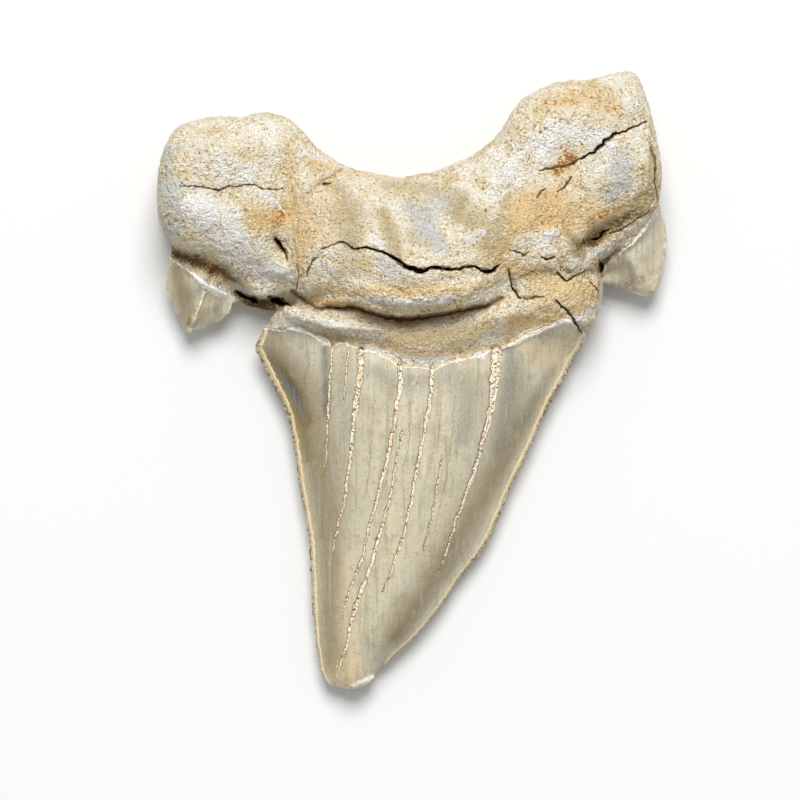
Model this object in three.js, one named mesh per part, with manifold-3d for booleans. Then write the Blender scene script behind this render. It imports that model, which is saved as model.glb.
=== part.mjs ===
// A fossil shark tooth that lies on its flat outer face, with its rounded inner face up.
// +Y runs from the tip towards the root, +Z is up, and the floor is z = 0. Sizes are in millimetres.
import * as THREE from "three";
import { mergeVertices } from "three/addons/utils/BufferGeometryUtils.js";
import Module from "manifold-3d";

const wasm = await Module();
wasm.setup();

// Driving dimensions: the tooth is 74.6 long, 61.3 wide and about 18 thick.
const LOBE_TOP = 12.2; // height of the two root lobes
const BULGE_RISE = 6.0; // how far the middle of the root stands above the lobes
const ROOT_EDGE = 5.6; // height of the root's widest line
const ROOT_SINK = 0.3; // depth that is cut flat below each lobe
const ROOT_ARCH = 1.5; // hollow under the middle of the root
const ROOT_ROUNDING = 0.74; // 1 is an oval section, less is boxier
const LOBE_CAP = 18; // a rib this long or longer has its full height, so the lobe ends are round
const CROWN_SINK = 0.3; // depth that is cut flat below the crown
const ENAMEL_STEP = 0.4; // how far the enamel stands above the bare neck
const STEP_WIDTH = 0.9;
const NECK_START = 4.6; // Y where the thin crown edges begin to turn into the blunt neck
const NECK_END = 8.2;

// Ribs of the root, left to right: [upper x, upper y, lower x, lower y].
const ROOT_RIBS = [
  [-30.7, 21.4, -30.7, 21.1],
  [-30.6, 23.5, -30.5, 19.8],
  [-30.1, 27.5, -29.9, 18.1],
  [-29.0, 29.6, -28.6, 16.3],
  [-27.1, 31.3, -26.5, 15.1],
  [-24.4, 31.6, -24.0, 14.2],
  [-20.8, 31.9, -21.0, 12.0],
  [-17.4, 32.3, -18.1, 10.0],
  [-14.8, 31.5, -15.4, 10.5],
  [-12.8, 29.4, -13.0, 9.9],
  [-10.6, 27.2, -10.2, 9.8],
  [-7.6, 25.7, -7.3, 9.2],
  [-4.2, 24.9, -4.2, 8.4],
  [-1.3, 24.7, -1.3, 7.7],
  [2.0, 25.2, 2.0, 8.0],
  [5.0, 26.1, 5.0, 8.5],
  [7.8, 27.6, 8.0, 9.1],
  [10.2, 29.8, 10.8, 10.0],
  [12.0, 32.6, 13.4, 9.8],
  [14.0, 34.7, 16.2, 10.3],
  [17.6, 35.9, 19.1, 11.5],
  [21.5, 36.5, 21.5, 13.3],
  [24.5, 37.2, 23.6, 15.1],
  [26.5, 37.0, 25.8, 16.8],
  [28.0, 34.1, 27.6, 18.5],
  [28.8, 29.8, 28.7, 19.9],
  [29.8, 25.4, 29.4, 20.8],
  [29.6, 22.4, 29.6, 22.1],
];

// Ribs of the crown and neck, tip to root: [left x, left y, right x, right y, ridge height, edge height].
const CROWN_RIBS = [
  [-8.2, -37.3, -7.7, -37.3, 2.6, 2.4],
  [-10.2, -36.4, -5.2, -36.0, 4.2, 2.5],
  [-11.2, -34.9, -4.0, -34.8, 5.0, 2.5],
  [-11.6, -32.8, -1.6, -32.4, 5.7, 2.6],
  [-11.9, -31.0, 0.0, -31.0, 6.3, 2.6],
  [-12.1, -27.4, 3.0, -27.5, 7.3, 2.7],
  [-12.4, -22.6, 6.6, -22.6, 8.3, 2.7],
  [-12.6, -19.0, 9.0, -19.2, 9.0, 2.8],
  [-13.2, -15.4, 10.7, -15.4, 9.7, 2.8],
  [-13.8, -11.8, 12.2, -11.8, 10.3, 2.9],
  [-14.3, -8.2, 14.0, -8.2, 10.8, 3.0],
  [-15.0, -4.6, 15.6, -4.6, 11.2, 3.1],
  [-16.1, -1.8, 16.9, -1.8, 11.4, 3.2],
  [-17.5, 0.8, 18.2, 0.4, 11.6, 3.3],
  [-18.5, 2.9, 19.3, 2.8, 11.6, 3.5],
  [-19.1, 4.3, 20.4, 4.4, 11.6, 3.8],
  [-18.4, 5.6, 20.8, 5.8, 11.5, 4.2],
  [-17.4, 7.2, 21.6, 7.0, 11.4, 4.6],
  [-16.8, 8.4, 22.4, 8.9, 11.6, 4.8],
  [-13.9, 9.4, 22.9, 11.3, 12.0, 4.9],
  [-12.4, 11.6, 22.2, 13.4, 11.6, 5.0],
  [-10.0, 14.4, 19.4, 14.9, 10.6, 5.0],
  [-5.8, 17.0, 14.0, 17.0, 8.8, 5.0],
  [4.2, 18.5, 4.7, 18.5, 6.0, 5.0],
];

// Ribs of the two side cusps, tip to root, in the same order of numbers.
const LEFT_CUSP_RIBS = [
  [-27.6, 5.9, -27.2, 5.9, 3.6, 3.4],
  [-28.1, 7.2, -25.8, 6.1, 4.6, 3.4],
  [-28.9, 9.1, -23.6, 7.2, 6.0, 3.4],
  [-29.6, 10.8, -21.8, 8.4, 7.2, 3.5],
  [-29.9, 11.9, -21.7, 9.8, 7.8, 3.6],
  [-29.6, 13.7, -20.8, 10.9, 8.4, 3.8],
  [-29.4, 15.8, -19.3, 11.9, 8.6, 4.0],
  [-28.0, 17.6, -18.1, 14.0, 8.4, 4.4],
  [-24.0, 17.6, -23.5, 17.6, 6.0, 5.0],
];
const RIGHT_CUSP_RIBS = [
  [27.8, 10.2, 28.8, 10.2, 3.8, 3.6],
  [25.8, 10.8, 29.5, 11.3, 4.8, 3.6],
  [24.6, 11.3, 29.8, 12.2, 5.8, 3.6],
  [23.4, 11.9, 30.2, 14.4, 7.0, 3.7],
  [22.4, 13.4, 30.6, 16.4, 7.8, 3.8],
  [22.4, 15.8, 30.5, 18.7, 8.2, 4.0],
  [23.4, 18.5, 29.6, 21.2, 8.0, 4.4],
  [26.3, 20.9, 26.5, 20.9, 6.0, 5.0],
];

// Ribs of the low ledge that joins the left cusp to the neck, left to right: [upper x, y, lower x, y].
const LEDGE_RIBS = [
  [-25.6, 14.6, -25.4, 14.4],
  [-23.8, 16.4, -23.8, 11.2],
  [-21.4, 17.0, -21.4, 9.4],
  [-19.0, 17.0, -19.0, 8.9],
  [-16.6, 16.6, -16.6, 8.3],
  [-13.6, 16.2, -13.6, 8.3],
  [-9.0, 13.6, -8.8, 13.4],
];
const LEDGE_TOP = 4.4;
const LEDGE_MIDDLE = 2.2;
const LEDGE_BOTTOM = 0.5;

// The wavy line where the enamel stops on the neck, left to right.
const ENAMEL_LINE = [
  [-20.0, 6.6],
  [-14.4, 6.6],
  [-11.2, 5.6],
  [-8.6, 4.9],
  [-5.2, 3.9],
  [-1.8, 2.0],
  [2.6, 1.6],
  [6.8, 3.0],
  [12.0, 4.7],
  [16.0, 6.8],
  [19.0, 7.6],
  [23.0, 7.6],
];

// Swellings and hollows of the root, each with its middle, its half lengths, its turn in degrees and
// how far it stands up (or goes down, where it is negative).
const ROOT_RELIEF = [
  { at: [0.4, 12.8], along: 12.4, across: 8.4, turn: 0, rise: BULGE_RISE }, // the middle bulge
  { at: [0.6, 10.4], along: 9.8, across: 2.4, turn: 0, rise: 1.0 }, // its lip over the neck
  { at: [-21.6, 28.0], along: 5.8, across: 3.0, turn: 4, rise: 1.3 }, // left lobe, upper half
  { at: [-24.4, 19.6], along: 5.2, across: 3.0, turn: -14, rise: 1.5 }, // left lobe, lower half
  { at: [-14.9, 20.4], along: 1.5, across: 5.6, turn: 8, rise: -1.5 }, // crease beside the left lobe
  { at: [-15.7, 15.9], along: 0.9, across: 1.5, turn: 20, rise: -2.4 }, // pit at the foot of that crease
  { at: [-18.2, 12.4], along: 4.6, across: 1.9, turn: -18, rise: -3.0 }, // broken flakes beside the neck
  { at: [-10.8, 24.0], along: 3.6, across: 0.8, turn: -28, rise: -1.0 }, // groove below the notch, left
  { at: [-8.0, 21.4], along: 4.0, across: 2.0, turn: -20, rise: 0.8 }, // swelling below that groove
  { at: [3.6, 23.4], along: 8.0, across: 1.5, turn: 12, rise: 0.8 }, // rim of the notch
  { at: [2.2, 18.4], along: 4.4, across: 2.0, turn: 0, rise: -0.8 }, // hollow behind the bulge
  { at: [12.6, 28.2], along: 5.0, across: 1.6, turn: 58, rise: 1.0 }, // ridge up to the right lobe
  { at: [19.6, 32.4], along: 5.2, across: 2.6, turn: 10, rise: 1.2 }, // right lobe, upper half
  { at: [25.6, 33.6], along: 1.6, across: 2.6, turn: -20, rise: 0.7 }, // its outer corner
  { at: [24.8, 25.4], along: 3.6, across: 3.2, turn: 30, rise: 1.5 }, // right lobe, lower half
  { at: [18.2, 25.8], along: 3.0, across: 1.8, turn: 35, rise: -1.3 }, // worn basin in the right lobe
  { at: [14.2, 21.0], along: 4.4, across: 2.8, turn: 20, rise: 1.1 }, // swelling below that basin
  { at: [22.0, 17.0], along: 1.4, across: 1.9, turn: -35, rise: -3.0 }, // deep pit above the right cusp
  { at: [17.6, 15.4], along: 3.2, across: 2.0, turn: 25, rise: 0.9 }, // swelling beside the pit
  { at: [13.4, 11.8], along: 0.7, across: 2.2, turn: 20, rise: -0.8 }, // dip at the right end of the lip
];

// The two fissures that open widest in the root, as [x, y, width] from end to end, and their floors.
const MIDDLE_FISSURE = [
  [-10.8, 15.8, 0.15],
  [-8.6, 16.7, 0.2],
  [-7.0, 15.8, 0.25],
  [-5.2, 15.9, 0.3],
  [-3.0, 15.2, 0.4],
  [-1.0, 13.7, 0.6],
  [0.6, 13.0, 0.6],
  [2.3, 13.6, 0.5],
  [4.4, 13.3, 0.45],
  [6.2, 13.6, 0.35],
  [8.0, 13.3, 0.4],
  [9.0, 13.0, 0.55],
  [10.3, 13.9, 0.2],
];
const MIDDLE_FISSURE_FLOOR = 14.6;
const LOBE_FISSURE = [
  [18.8, 26.0, 0.25],
  [20.5, 27.0, 0.35],
  [21.8, 27.4, 0.7],
  [22.6, 28.3, 0.8],
  [23.4, 29.3, 0.7],
  [24.8, 29.8, 0.4],
  [26.6, 30.5, 0.4],
  [28.0, 31.3, 0.4],
];
const LOBE_FISSURE_FLOOR = 10.6;
const ABOVE_TOOTH = 25;

// Swellings and hollows of the crown and neck, in the same form.
const CROWN_RELIEF = [
  { at: [-15.0, 0.6], along: 1.4, across: 3.6, turn: 24, rise: -1.2 }, // trough inside the left shoulder
  { at: [15.2, 0.8], along: 1.8, across: 4.4, turn: -30, rise: -0.8 }, // trough inside the right shoulder
  { at: [-3.4, -5.0], along: 4.6, across: 9.0, turn: 8, rise: 0.5 }, // the broad ridge
  { at: [1.0, 7.0], along: 11.0, across: 1.0, turn: 0, rise: -0.9 }, // groove below the root's lip
  { at: [-14.0, 7.6], along: 2.8, across: 1.2, turn: 8, rise: 1.0 }, // lump at the neck's left end
  { at: [18.8, 8.8], along: 2.4, across: 2.2, turn: 30, rise: 1.2 }, // block at the neck's right end
  { at: [10.2, 0.2], along: 0.7, across: 3.6, turn: -10, rise: -0.8 }, // head of the widest crown crack
];

// The height that a row of swellings and hollows adds at one place.
function relief(features, x, y) {
  let rise = 0;
  for (const feature of features) {
    const turn = THREE.MathUtils.degToRad(feature.turn);
    const dx = x - feature.at[0];
    const dy = y - feature.at[1];
    const u = (dx * Math.cos(turn) + dy * Math.sin(turn)) / feature.along;
    const v = (dy * Math.cos(turn) - dx * Math.sin(turn)) / feature.across;
    rise += feature.rise * Math.exp(-(u * u + v * v));
  }
  return rise;
}

// A closed body on a row of ribs. Each ring of a sphere becomes a section that stands on one rib, and
// heightAt(x, y, side, up, heights, rib) gives the height of a point: side runs from 1 at the rib's
// first end to -1 at its second, up from 1 on the upper face to -1 on the lower, and rib is its length.
function loft(ribs, rings, around, rounding, heightAt) {
  const first = new THREE.SplineCurve(ribs.map(([x, y]) => new THREE.Vector2(x, y)));
  const second = new THREE.SplineCurve(ribs.map(([, , x, y]) => new THREE.Vector2(x, y)));
  const heights = new THREE.SplineCurve(
    ribs.map(([, , , , ridge = 0, edge = 0]) => new THREE.Vector2(ridge, edge)),
  );
  const body = merged(new THREE.SphereGeometry(1, around, rings));
  const position = body.getAttribute("position");
  for (let i = 0; i < position.count; i += 1) {
    const along = Math.acos(THREE.MathUtils.clamp(position.getY(i), -1, 1)) / Math.PI;
    const radius = Math.max(Math.hypot(position.getX(i), position.getZ(i)), 1e-9);
    const side = roundedPower(position.getX(i) / radius, rounding);
    const up = roundedPower(position.getZ(i) / radius, rounding);
    const start = first.getPoint(along);
    const end = second.getPoint(along);
    const rib = start.distanceTo(end);
    const point = end.lerp(start, (side + 1) / 2);
    const z = heightAt(point.x, point.y, side, up, heights.getPoint(along), rib);
    position.setXYZ(i, point.x, point.y, z);
  }
  return solid(body);
}

function roundedPower(value, power) {
  return Math.sign(value) * Math.pow(Math.abs(value), power);
}

// The same geometry with only its positions, and with each shared vertex there once.
function merged(geometry) {
  geometry.deleteAttribute("normal");
  geometry.deleteAttribute("uv");
  return mergeVertices(geometry);
}

function closedSolid(geometry) {
  return solid(merged(geometry));
}

// A solid made from a closed geometry whose shared vertices are merged.
function solid(geometry) {
  return new wasm.Manifold(
    new wasm.Mesh({
      numProp: 3,
      vertProperties: new Float32Array(geometry.getAttribute("position").array),
      triVerts: new Uint32Array(geometry.getIndex().array),
    }),
  );
}

// The Y of the enamel line above one X.
function enamelLineAt(x) {
  const last = ENAMEL_LINE.length - 1;
  const next = THREE.MathUtils.clamp(
    ENAMEL_LINE.findIndex(([lineX]) => lineX > x),
    1,
    last,
  );
  const [x0, y0] = ENAMEL_LINE[next - 1];
  const [x1, y1] = ENAMEL_LINE[next];
  return THREE.MathUtils.mapLinear(THREE.MathUtils.clamp(x, x0, x1), x0, x1, y0, y1);
}

// The root: two lobes with a strong bulge between them, hollowed a little underneath.
function rootHeight(x, y, side, up, heights, rib) {
  const top = LOBE_TOP + relief(ROOT_RELIEF, x, y);
  const arch = ROOT_ARCH * Math.exp(-Math.pow(x / 11, 2));
  const bottom = arch - ROOT_SINK;
  const reach = up > 0 ? top - ROOT_EDGE : ROOT_EDGE - bottom;
  const cap = Math.sqrt(1 - Math.pow(Math.max(1 - rib / LOBE_CAP, 0), 2));
  return ROOT_EDGE + up * reach * cap;
}

// The crown is a lens with thin edges, and its neck is a blunt band under the root's lip.
function crownHeight(x, y, side, up, heights) {
  const ridge = heights.x;
  const edge = heights.y;
  const out = Math.min(Math.abs(side), 1);
  if (up <= 0) {
    const belly = Math.pow(1 - Math.pow(out, 2.6), 0.8);
    return edge - (edge + CROWN_SINK) * belly;
  }
  const blade = Math.pow(1 - Math.pow(out, 2.3), 1.15);
  const block = Math.pow(1 - Math.pow(out, 4), 0.5);
  const blunt = THREE.MathUtils.smoothstep(y, NECK_START, NECK_END);
  const swell = THREE.MathUtils.lerp(blade, block, blunt);
  const line = enamelLineAt(x);
  const enamel = ENAMEL_STEP * (1 - THREE.MathUtils.smoothstep(y, line - STEP_WIDTH / 2, line + STEP_WIDTH / 2));
  return edge + swell * (ridge - edge) + (relief(CROWN_RELIEF, x, y) + enamel) * Math.min(swell * 1.6, 1);
}

// A side cusp: two flat facets that meet in a ridge above and a gentle curve below.
function cuspHeight(x, y, side, up, heights) {
  const ridge = heights.x;
  const edge = heights.y;
  const out = Math.min(Math.abs(side), 1);
  if (up <= 0) {
    return edge - 0.55 * edge * Math.sqrt(1 - out * out);
  }
  return edge + (ridge - edge) * Math.pow(1 - out, 0.9);
}

// The ledge: a thin broken plate close to the floor.
function ledgeHeight(x, y, side, up) {
  const reach = up > 0 ? LEDGE_TOP - LEDGE_MIDDLE : LEDGE_MIDDLE - LEDGE_BOTTOM;
  return LEDGE_MIDDLE + up * reach;
}

// A fissure: an upright slit along a line, as wide as each of its points says.
function fissure(line, floor) {
  const sides = [[], []];
  line.forEach(([x, y, width], i) => {
    const [backX, backY] = line[Math.max(i - 1, 0)];
    const [nextX, nextY] = line[Math.min(i + 1, line.length - 1)];
    const across = new THREE.Vector2(backY - nextY, nextX - backX).setLength(width / 2);
    sides[0].push(new THREE.Vector2(x - across.x, y - across.y));
    sides[1].unshift(new THREE.Vector2(x + across.x, y + across.y));
  });
  const outline = new THREE.Shape([...sides[0], ...sides[1]]);
  const slit = new THREE.ExtrudeGeometry(outline, { depth: ABOVE_TOOTH - floor, bevelEnabled: false });
  slit.translate(0, 0, floor);
  return closedSolid(slit);
}

// Everything below the floor, as one block that is cut away to leave the flats the tooth lies on.
function belowFloor() {
  const block = new THREE.BoxGeometry(100, 100, 10);
  block.translate(0, 0, -5);
  return closedSolid(block);
}

// The tooth grew as one piece, so its parts are joined into one body.
function toothGeometry() {
  const root = loft(ROOT_RIBS, 60, 38, ROOT_ROUNDING, rootHeight);
  const crown = loft(CROWN_RIBS, 54, 36, 1, crownHeight);
  const leftCusp = loft(LEFT_CUSP_RIBS, 14, 16, 1, cuspHeight);
  const rightCusp = loft(RIGHT_CUSP_RIBS, 14, 16, 1, cuspHeight);
  const ledge = loft(LEDGE_RIBS, 12, 12, 0.8, ledgeHeight);
  const joined = root.add(crown).add(leftCusp).add(rightCusp).add(ledge);
  const opened = joined
    .subtract(fissure(MIDDLE_FISSURE, MIDDLE_FISSURE_FLOOR))
    .subtract(fissure(LOBE_FISSURE, LOBE_FISSURE_FLOOR));
  const mesh = opened.subtract(belowFloor()).getMesh();
  const geometry = new THREE.BufferGeometry();
  geometry.setAttribute("position", new THREE.BufferAttribute(mesh.vertProperties, 3));
  geometry.setIndex(new THREE.BufferAttribute(mesh.triVerts, 1));
  geometry.computeBoundingBox();
  const middle = geometry.boundingBox.getCenter(new THREE.Vector3());
  geometry.translate(-middle.x, -middle.y, 0);
  geometry.computeVertexNormals();
  return geometry;
}

const fossil = new THREE.MeshStandardMaterial({ color: 0xcdbf98, roughness: 0.6, metalness: 0 });

const tooth = new THREE.Mesh(toothGeometry(), fossil);
tooth.name = "shark_tooth";

const group = new THREE.Group();
group.add(tooth);

export default group;
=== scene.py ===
"""The finish of a fossil shark tooth: its worn surface, its cracks, its colours and a plain studio.

The solid tooth comes from the frame, in metres. Its surface is worked in millimetres and scaled back
at the end, so that every size below reads as one would measure it on the real tooth.
"""

import math

import bmesh
import bpy
import numpy as np
from bpy.props import FloatProperty, FloatVectorProperty, PointerProperty
from mathutils import Matrix, Vector, kdtree, noise
from mathutils.bvhtree import BVHTree


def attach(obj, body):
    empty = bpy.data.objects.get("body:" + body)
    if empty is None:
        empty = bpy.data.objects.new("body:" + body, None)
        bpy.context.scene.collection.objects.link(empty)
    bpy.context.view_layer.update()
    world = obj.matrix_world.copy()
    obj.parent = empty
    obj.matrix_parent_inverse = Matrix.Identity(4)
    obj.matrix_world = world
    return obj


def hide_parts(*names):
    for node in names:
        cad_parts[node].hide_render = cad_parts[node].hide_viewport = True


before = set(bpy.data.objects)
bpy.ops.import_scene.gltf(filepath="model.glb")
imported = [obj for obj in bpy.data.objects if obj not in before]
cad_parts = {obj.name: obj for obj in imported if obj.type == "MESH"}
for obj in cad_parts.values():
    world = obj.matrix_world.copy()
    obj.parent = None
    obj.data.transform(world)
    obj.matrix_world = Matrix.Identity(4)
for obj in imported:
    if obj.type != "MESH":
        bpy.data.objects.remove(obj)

bl_info = {
    "name": "Fossil shark tooth",
    "version": (1, 0, 0),
    "blender": (4, 5, 0),
    "location": "View3D > Sidebar > Tooth",
    "description": "Builds the worn and cracked surface of a fossil shark tooth and its studio",
    "category": "Object",
}

MM = 0.001  # one millimetre in metres
NODE = "shark_tooth"
BODY = "root"

# Sizes of the shaping in millimetres, apart from those that a user would change.
MESH_STEP = 0.1  # between the points that stand for the true cutting edges
LONGEST_PULL = 1.6  # farther than this the skin isn't drawn to a cutting edge
REACHES = (1.0, 0.42)  # how far from a crack or an edge the faces are halved, the first and second time
WEDGE_STEP = 0.3  # between the stations of a fissure's wedge
OVER_TOP = 0.9  # how far a wedge stands out of the surface
UNDER_ENAMEL = 2.5  # how far the enamel goes further up on the outer face
CUSP_SIDE = 20.6  # outside this distance from the middle there are only lobes and side cusps
PICTURE_MIDDLE = (-1.56, -2.16, 6.0)  # what the camera looks down on

# Noise of the fossil's material, as (size in millimetres, detail, roughness). Bone grains and specks of
# dust measure 0.1 to 0.2 mm, which would not show, so speckle, dust and crumble are drawn coarser.
NOISES = {
    "mottle": (2.6, 6.0, 0.72),
    "speckle": (0.34, 2.0, 0.70),
    "haze": (2.4, 4.0, 0.6),
    "dust": (0.30, 3.0, 0.65),
    "crumble": (0.45, 3.0, 0.6),
}


# Lines on the tooth, in millimetres from the middle of its footprint.

# Where the enamel stops, from left to right, on the crown and on each side cusp.
CROWN_ENAMEL_LINE = [
    (-20.5, 6.3), (-18.1, 6.5), (-16.0, 6.2), (-14.4, 6.6), (-12.8, 6.5), (-11.5, 5.4), (-11.2, 5.6),
    (-10.0, 5.0), (-9.6, 4.3), (-9.0, 4.8), (-8.2, 4.8), (-6.7, 4.1), (-5.2, 3.8), (-3.4, 3.1), (-1.6, 2.0),
    (0.8, 1.8), (2.6, 1.6), (4.4, 2.5), (6.8, 3.0), (9.2, 3.8), (10.4, 4.1), (11.9, 4.8), (13.8, 5.9),
    (16.2, 6.8), (17.2, 7.4), (18.6, 7.6), (20.5, 6.2), (22.0, 5.4),
]
LEFT_CUSP_ENAMEL_LINE = [
    (-31.0, 16.6), (-29.6, 15.6), (-28.6, 14.6), (-27.4, 13.7), (-26.0, 12.9), (-24.7, 12.0), (-23.2, 11.1),
    (-21.6, 10.3), (-20.4, 10.6),
]
RIGHT_CUSP_ENAMEL_LINE = [
    (22.2, 13.0), (23.2, 14.2), (24.6, 15.4), (26.0, 16.6), (27.6, 18.6), (29.2, 21.0), (31.0, 22.6),
]

# Cracks in the crown that are filled with pale crumbs, as (x, y, width) from the neck to the tip.
FILLED_CRACKS = [
    [(-9.6, 4.3, 0.24), (-9.8, 1.4, 0.24), (-10.1, -1.6, 0.24), (-10.4, -8.8, 0.18), (-10.7, -10.6, 0.1)],
    [(-7.7, 3.9, 0.16), (-8.0, 0.2, 0.16), (-8.4, -2.2, 0.08)],
    [
        (-6.2, 4.0, 0.72), (-6.2, 1.4, 0.71), (-6.6, -1.0, 0.68), (-7.0, -3.4, 0.59), (-7.3, -7.0, 0.45),
        (-7.7, -10.6, 0.33), (-8.2, -14.2, 0.27), (-9.0, -17.2, 0.22), (-9.7, -20.4, 0.1),
    ],
    [
        (-1.6, 2.2, 0.59), (-1.4, 0.2, 0.59), (-1.7, -1.6, 0.51), (-2.3, -5.2, 0.43), (-3.0, -8.8, 0.37),
        (-3.6, -11.2, 0.35), (-4.3, -14.2, 0.33), (-5.4, -17.8, 0.27), (-6.2, -21.4, 0.23),
        (-7.1, -23.8, 0.22), (-8.0, -26.2, 0.17), (-8.5, -28.6, 0.07),
    ],
    [
        (-1.3, -5.8, 0.1), (-2.2, -10.6, 0.22), (-2.8, -14.2, 0.23), (-3.7, -17.2, 0.29),
        (-4.8, -21.1, 0.45), (-5.6, -23.5, 0.32), (-6.6, -26.2, 0.45), (-7.4, -28.6, 0.45),
        (-7.6, -30.4, 0.33), (-8.4, -33.1, 0.27), (-9.0, -34.8, 0.12),
    ],
    [
        (2.3, 2.0, 0.49), (2.2, -1.0, 0.46), (1.7, -4.0, 0.39), (1.1, -7.0, 0.35), (0.2, -11.8, 0.35),
        (-0.2, -14.2, 0.33), (-1.0, -17.8, 0.27), (-1.8, -20.2, 0.23), (-2.5, -22.6, 0.2),
        (-3.7, -25.2, 0.07),
    ],
    [(3.4, -8.8, 0.07), (3.0, -11.8, 0.16), (2.4, -15.4, 0.16), (1.2, -20.4, 0.06)],
    [
        (10.1, 4.0, 1.37), (9.8, 0.8, 1.21), (9.4, -2.8, 0.88), (8.6, -6.0, 0.56), (7.9, -8.8, 0.45),
        (7.1, -11.5, 0.43), (6.1, -14.0, 0.39), (5.2, -16.3, 0.33), (4.4, -19.2, 0.23), (3.6, -21.6, 0.16),
        (3.0, -23.5, 0.07),
    ],
]

# Fissures that stand open, as (x, y, width, depth).
OPEN_FISSURES = [
    [
        (-11.0, 15.7, 0.09, 0.5), (-10.0, 16.0, 0.14, 0.6), (-8.6, 16.7, 0.2, 0.8), (-7.0, 15.8, 0.24, 0.9),
        (-5.2, 15.9, 0.26, 1.0), (-4.0, 15.4, 0.27, 1.2), (-3.0, 15.2, 0.34, 1.4), (-2.2, 14.6, 0.44, 1.8),
        (-1.0, 13.7, 0.61, 2.2), (0.6, 13.0, 0.65, 2.2), (1.4, 13.2, 0.51, 2.2), (2.3, 13.6, 0.41, 2.0),
        (3.2, 13.3, 0.42, 2.0), (4.4, 13.3, 0.42, 2.0), (5.6, 13.3, 0.32, 1.8), (6.2, 13.6, 0.31, 1.6),
        (7.4, 13.7, 0.31, 1.6), (8.0, 13.3, 0.37, 1.6), (9.0, 13.1, 0.54, 1.6), (9.5, 13.3, 0.48, 1.4),
        (10.3, 14.0, 0.14, 0.6),
    ],
    [
        (-27.7, 23.3, 0.06, 0.3), (-26.2, 23.2, 0.11, 0.5), (-25.0, 23.2, 0.11, 0.6),
        (-23.8, 23.0, 0.15, 0.7), (-23.2, 22.8, 0.17, 0.7), (-22.0, 23.3, 0.14, 0.7),
        (-20.8, 23.3, 0.14, 0.7), (-19.6, 23.4, 0.11, 0.6), (-18.7, 23.4, 0.12, 0.6),
        (-17.8, 23.0, 0.11, 0.5), (-16.6, 22.9, 0.1, 0.4), (-15.5, 23.0, 0.06, 0.3),
    ],
    [
        (17.6, 25.6, 0.07, 0.3), (18.4, 25.9, 0.12, 0.5), (19.1, 26.1, 0.16, 0.8), (19.6, 26.6, 0.16, 0.8),
        (20.2, 26.7, 0.26, 1.0), (20.7, 27.2, 0.22, 1.0), (21.6, 27.3, 0.36, 1.1), (22.0, 27.9, 0.46, 1.2),
        (22.6, 28.2, 0.4, 1.2), (22.8, 28.7, 0.5, 1.2), (23.5, 29.0, 0.34, 1.2), (23.8, 29.5, 0.4, 1.1),
        (24.5, 29.6, 0.24, 1.0), (25.3, 29.8, 0.22, 1.0), (26.0, 30.3, 0.26, 0.9), (26.7, 30.4, 0.18, 0.8),
        (27.3, 30.9, 0.16, 0.6), (28.0, 31.2, 0.08, 0.4),
    ],
    [
        (11.4, 13.4, 0.1, 0.3), (11.4, 12.8, 0.18, 0.5), (11.6, 11.6, 0.24, 0.7), (12.5, 10.1, 0.2, 0.5),
        (13.0, 9.9, 0.1, 0.3),
    ],
    [
        (16.9, 9.8, 0.12, 0.3), (17.6, 9.1, 0.24, 0.6), (18.4, 8.4, 0.26, 0.7), (19.7, 6.7, 0.22, 0.6),
        (20.3, 5.9, 0.14, 0.5),
    ],
    [
        (17.2, 13.1, 0.14, 0.4), (17.6, 12.4, 0.26, 0.6), (18.4, 12.0, 0.26, 0.7), (19.4, 12.7, 0.16, 0.5),
        (20.6, 13.4, 0.1, 0.3),
    ],
    [(15.2, 14.9, 0.14, 0.3), (15.8, 14.5, 0.3, 0.6), (16.8, 14.9, 0.14, 0.3)],
    [(-10.9, 23.5, 0.12, 0.3), (-10.4, 23.6, 0.26, 0.6), (-9.8, 23.6, 0.14, 0.3)],
    [
        (-16.5, 17.2, 0.3, 0.8), (-16.1, 16.7, 0.6, 2.0), (-15.6, 16.0, 0.5, 2.0), (-15.3, 15.3, 0.14, 0.9),
        (-14.9, 14.4, 0.06, 0.4),
    ],
]

# Deep hollows under broken edges, as (x, y, width, depth).
HOLLOWS = [
    [
        (-21.4, 10.9, 0.3, 1.0), (-20.6, 10.5, 0.6, 1.8), (-19.9, 10.1, 0.4, 1.4), (-19.2, 9.7, 0.7, 2.2),
        (-18.6, 9.4, 0.3, 1.0),
    ],
    [
        (-17.4, 10.3, 0.3, 1.0), (-16.8, 9.9, 0.9, 2.4), (-15.9, 9.6, 1.1, 2.6), (-15.2, 9.3, 0.5, 1.6),
        (-14.6, 9.1, 0.15, 0.6),
    ],
    [
        (21.2, 17.0, 0.2, 0.8), (21.8, 17.1, 0.5, 1.4), (22.3, 17.2, 0.3, 1.2), (22.9, 17.9, 0.4, 1.0),
        (23.6, 18.3, 0.15, 0.5),
    ],
    [(22.4, 14.6, 0.2, 0.5), (22.7, 13.9, 0.5, 1.0), (22.6, 13.2, 0.3, 0.8)],
]

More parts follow.
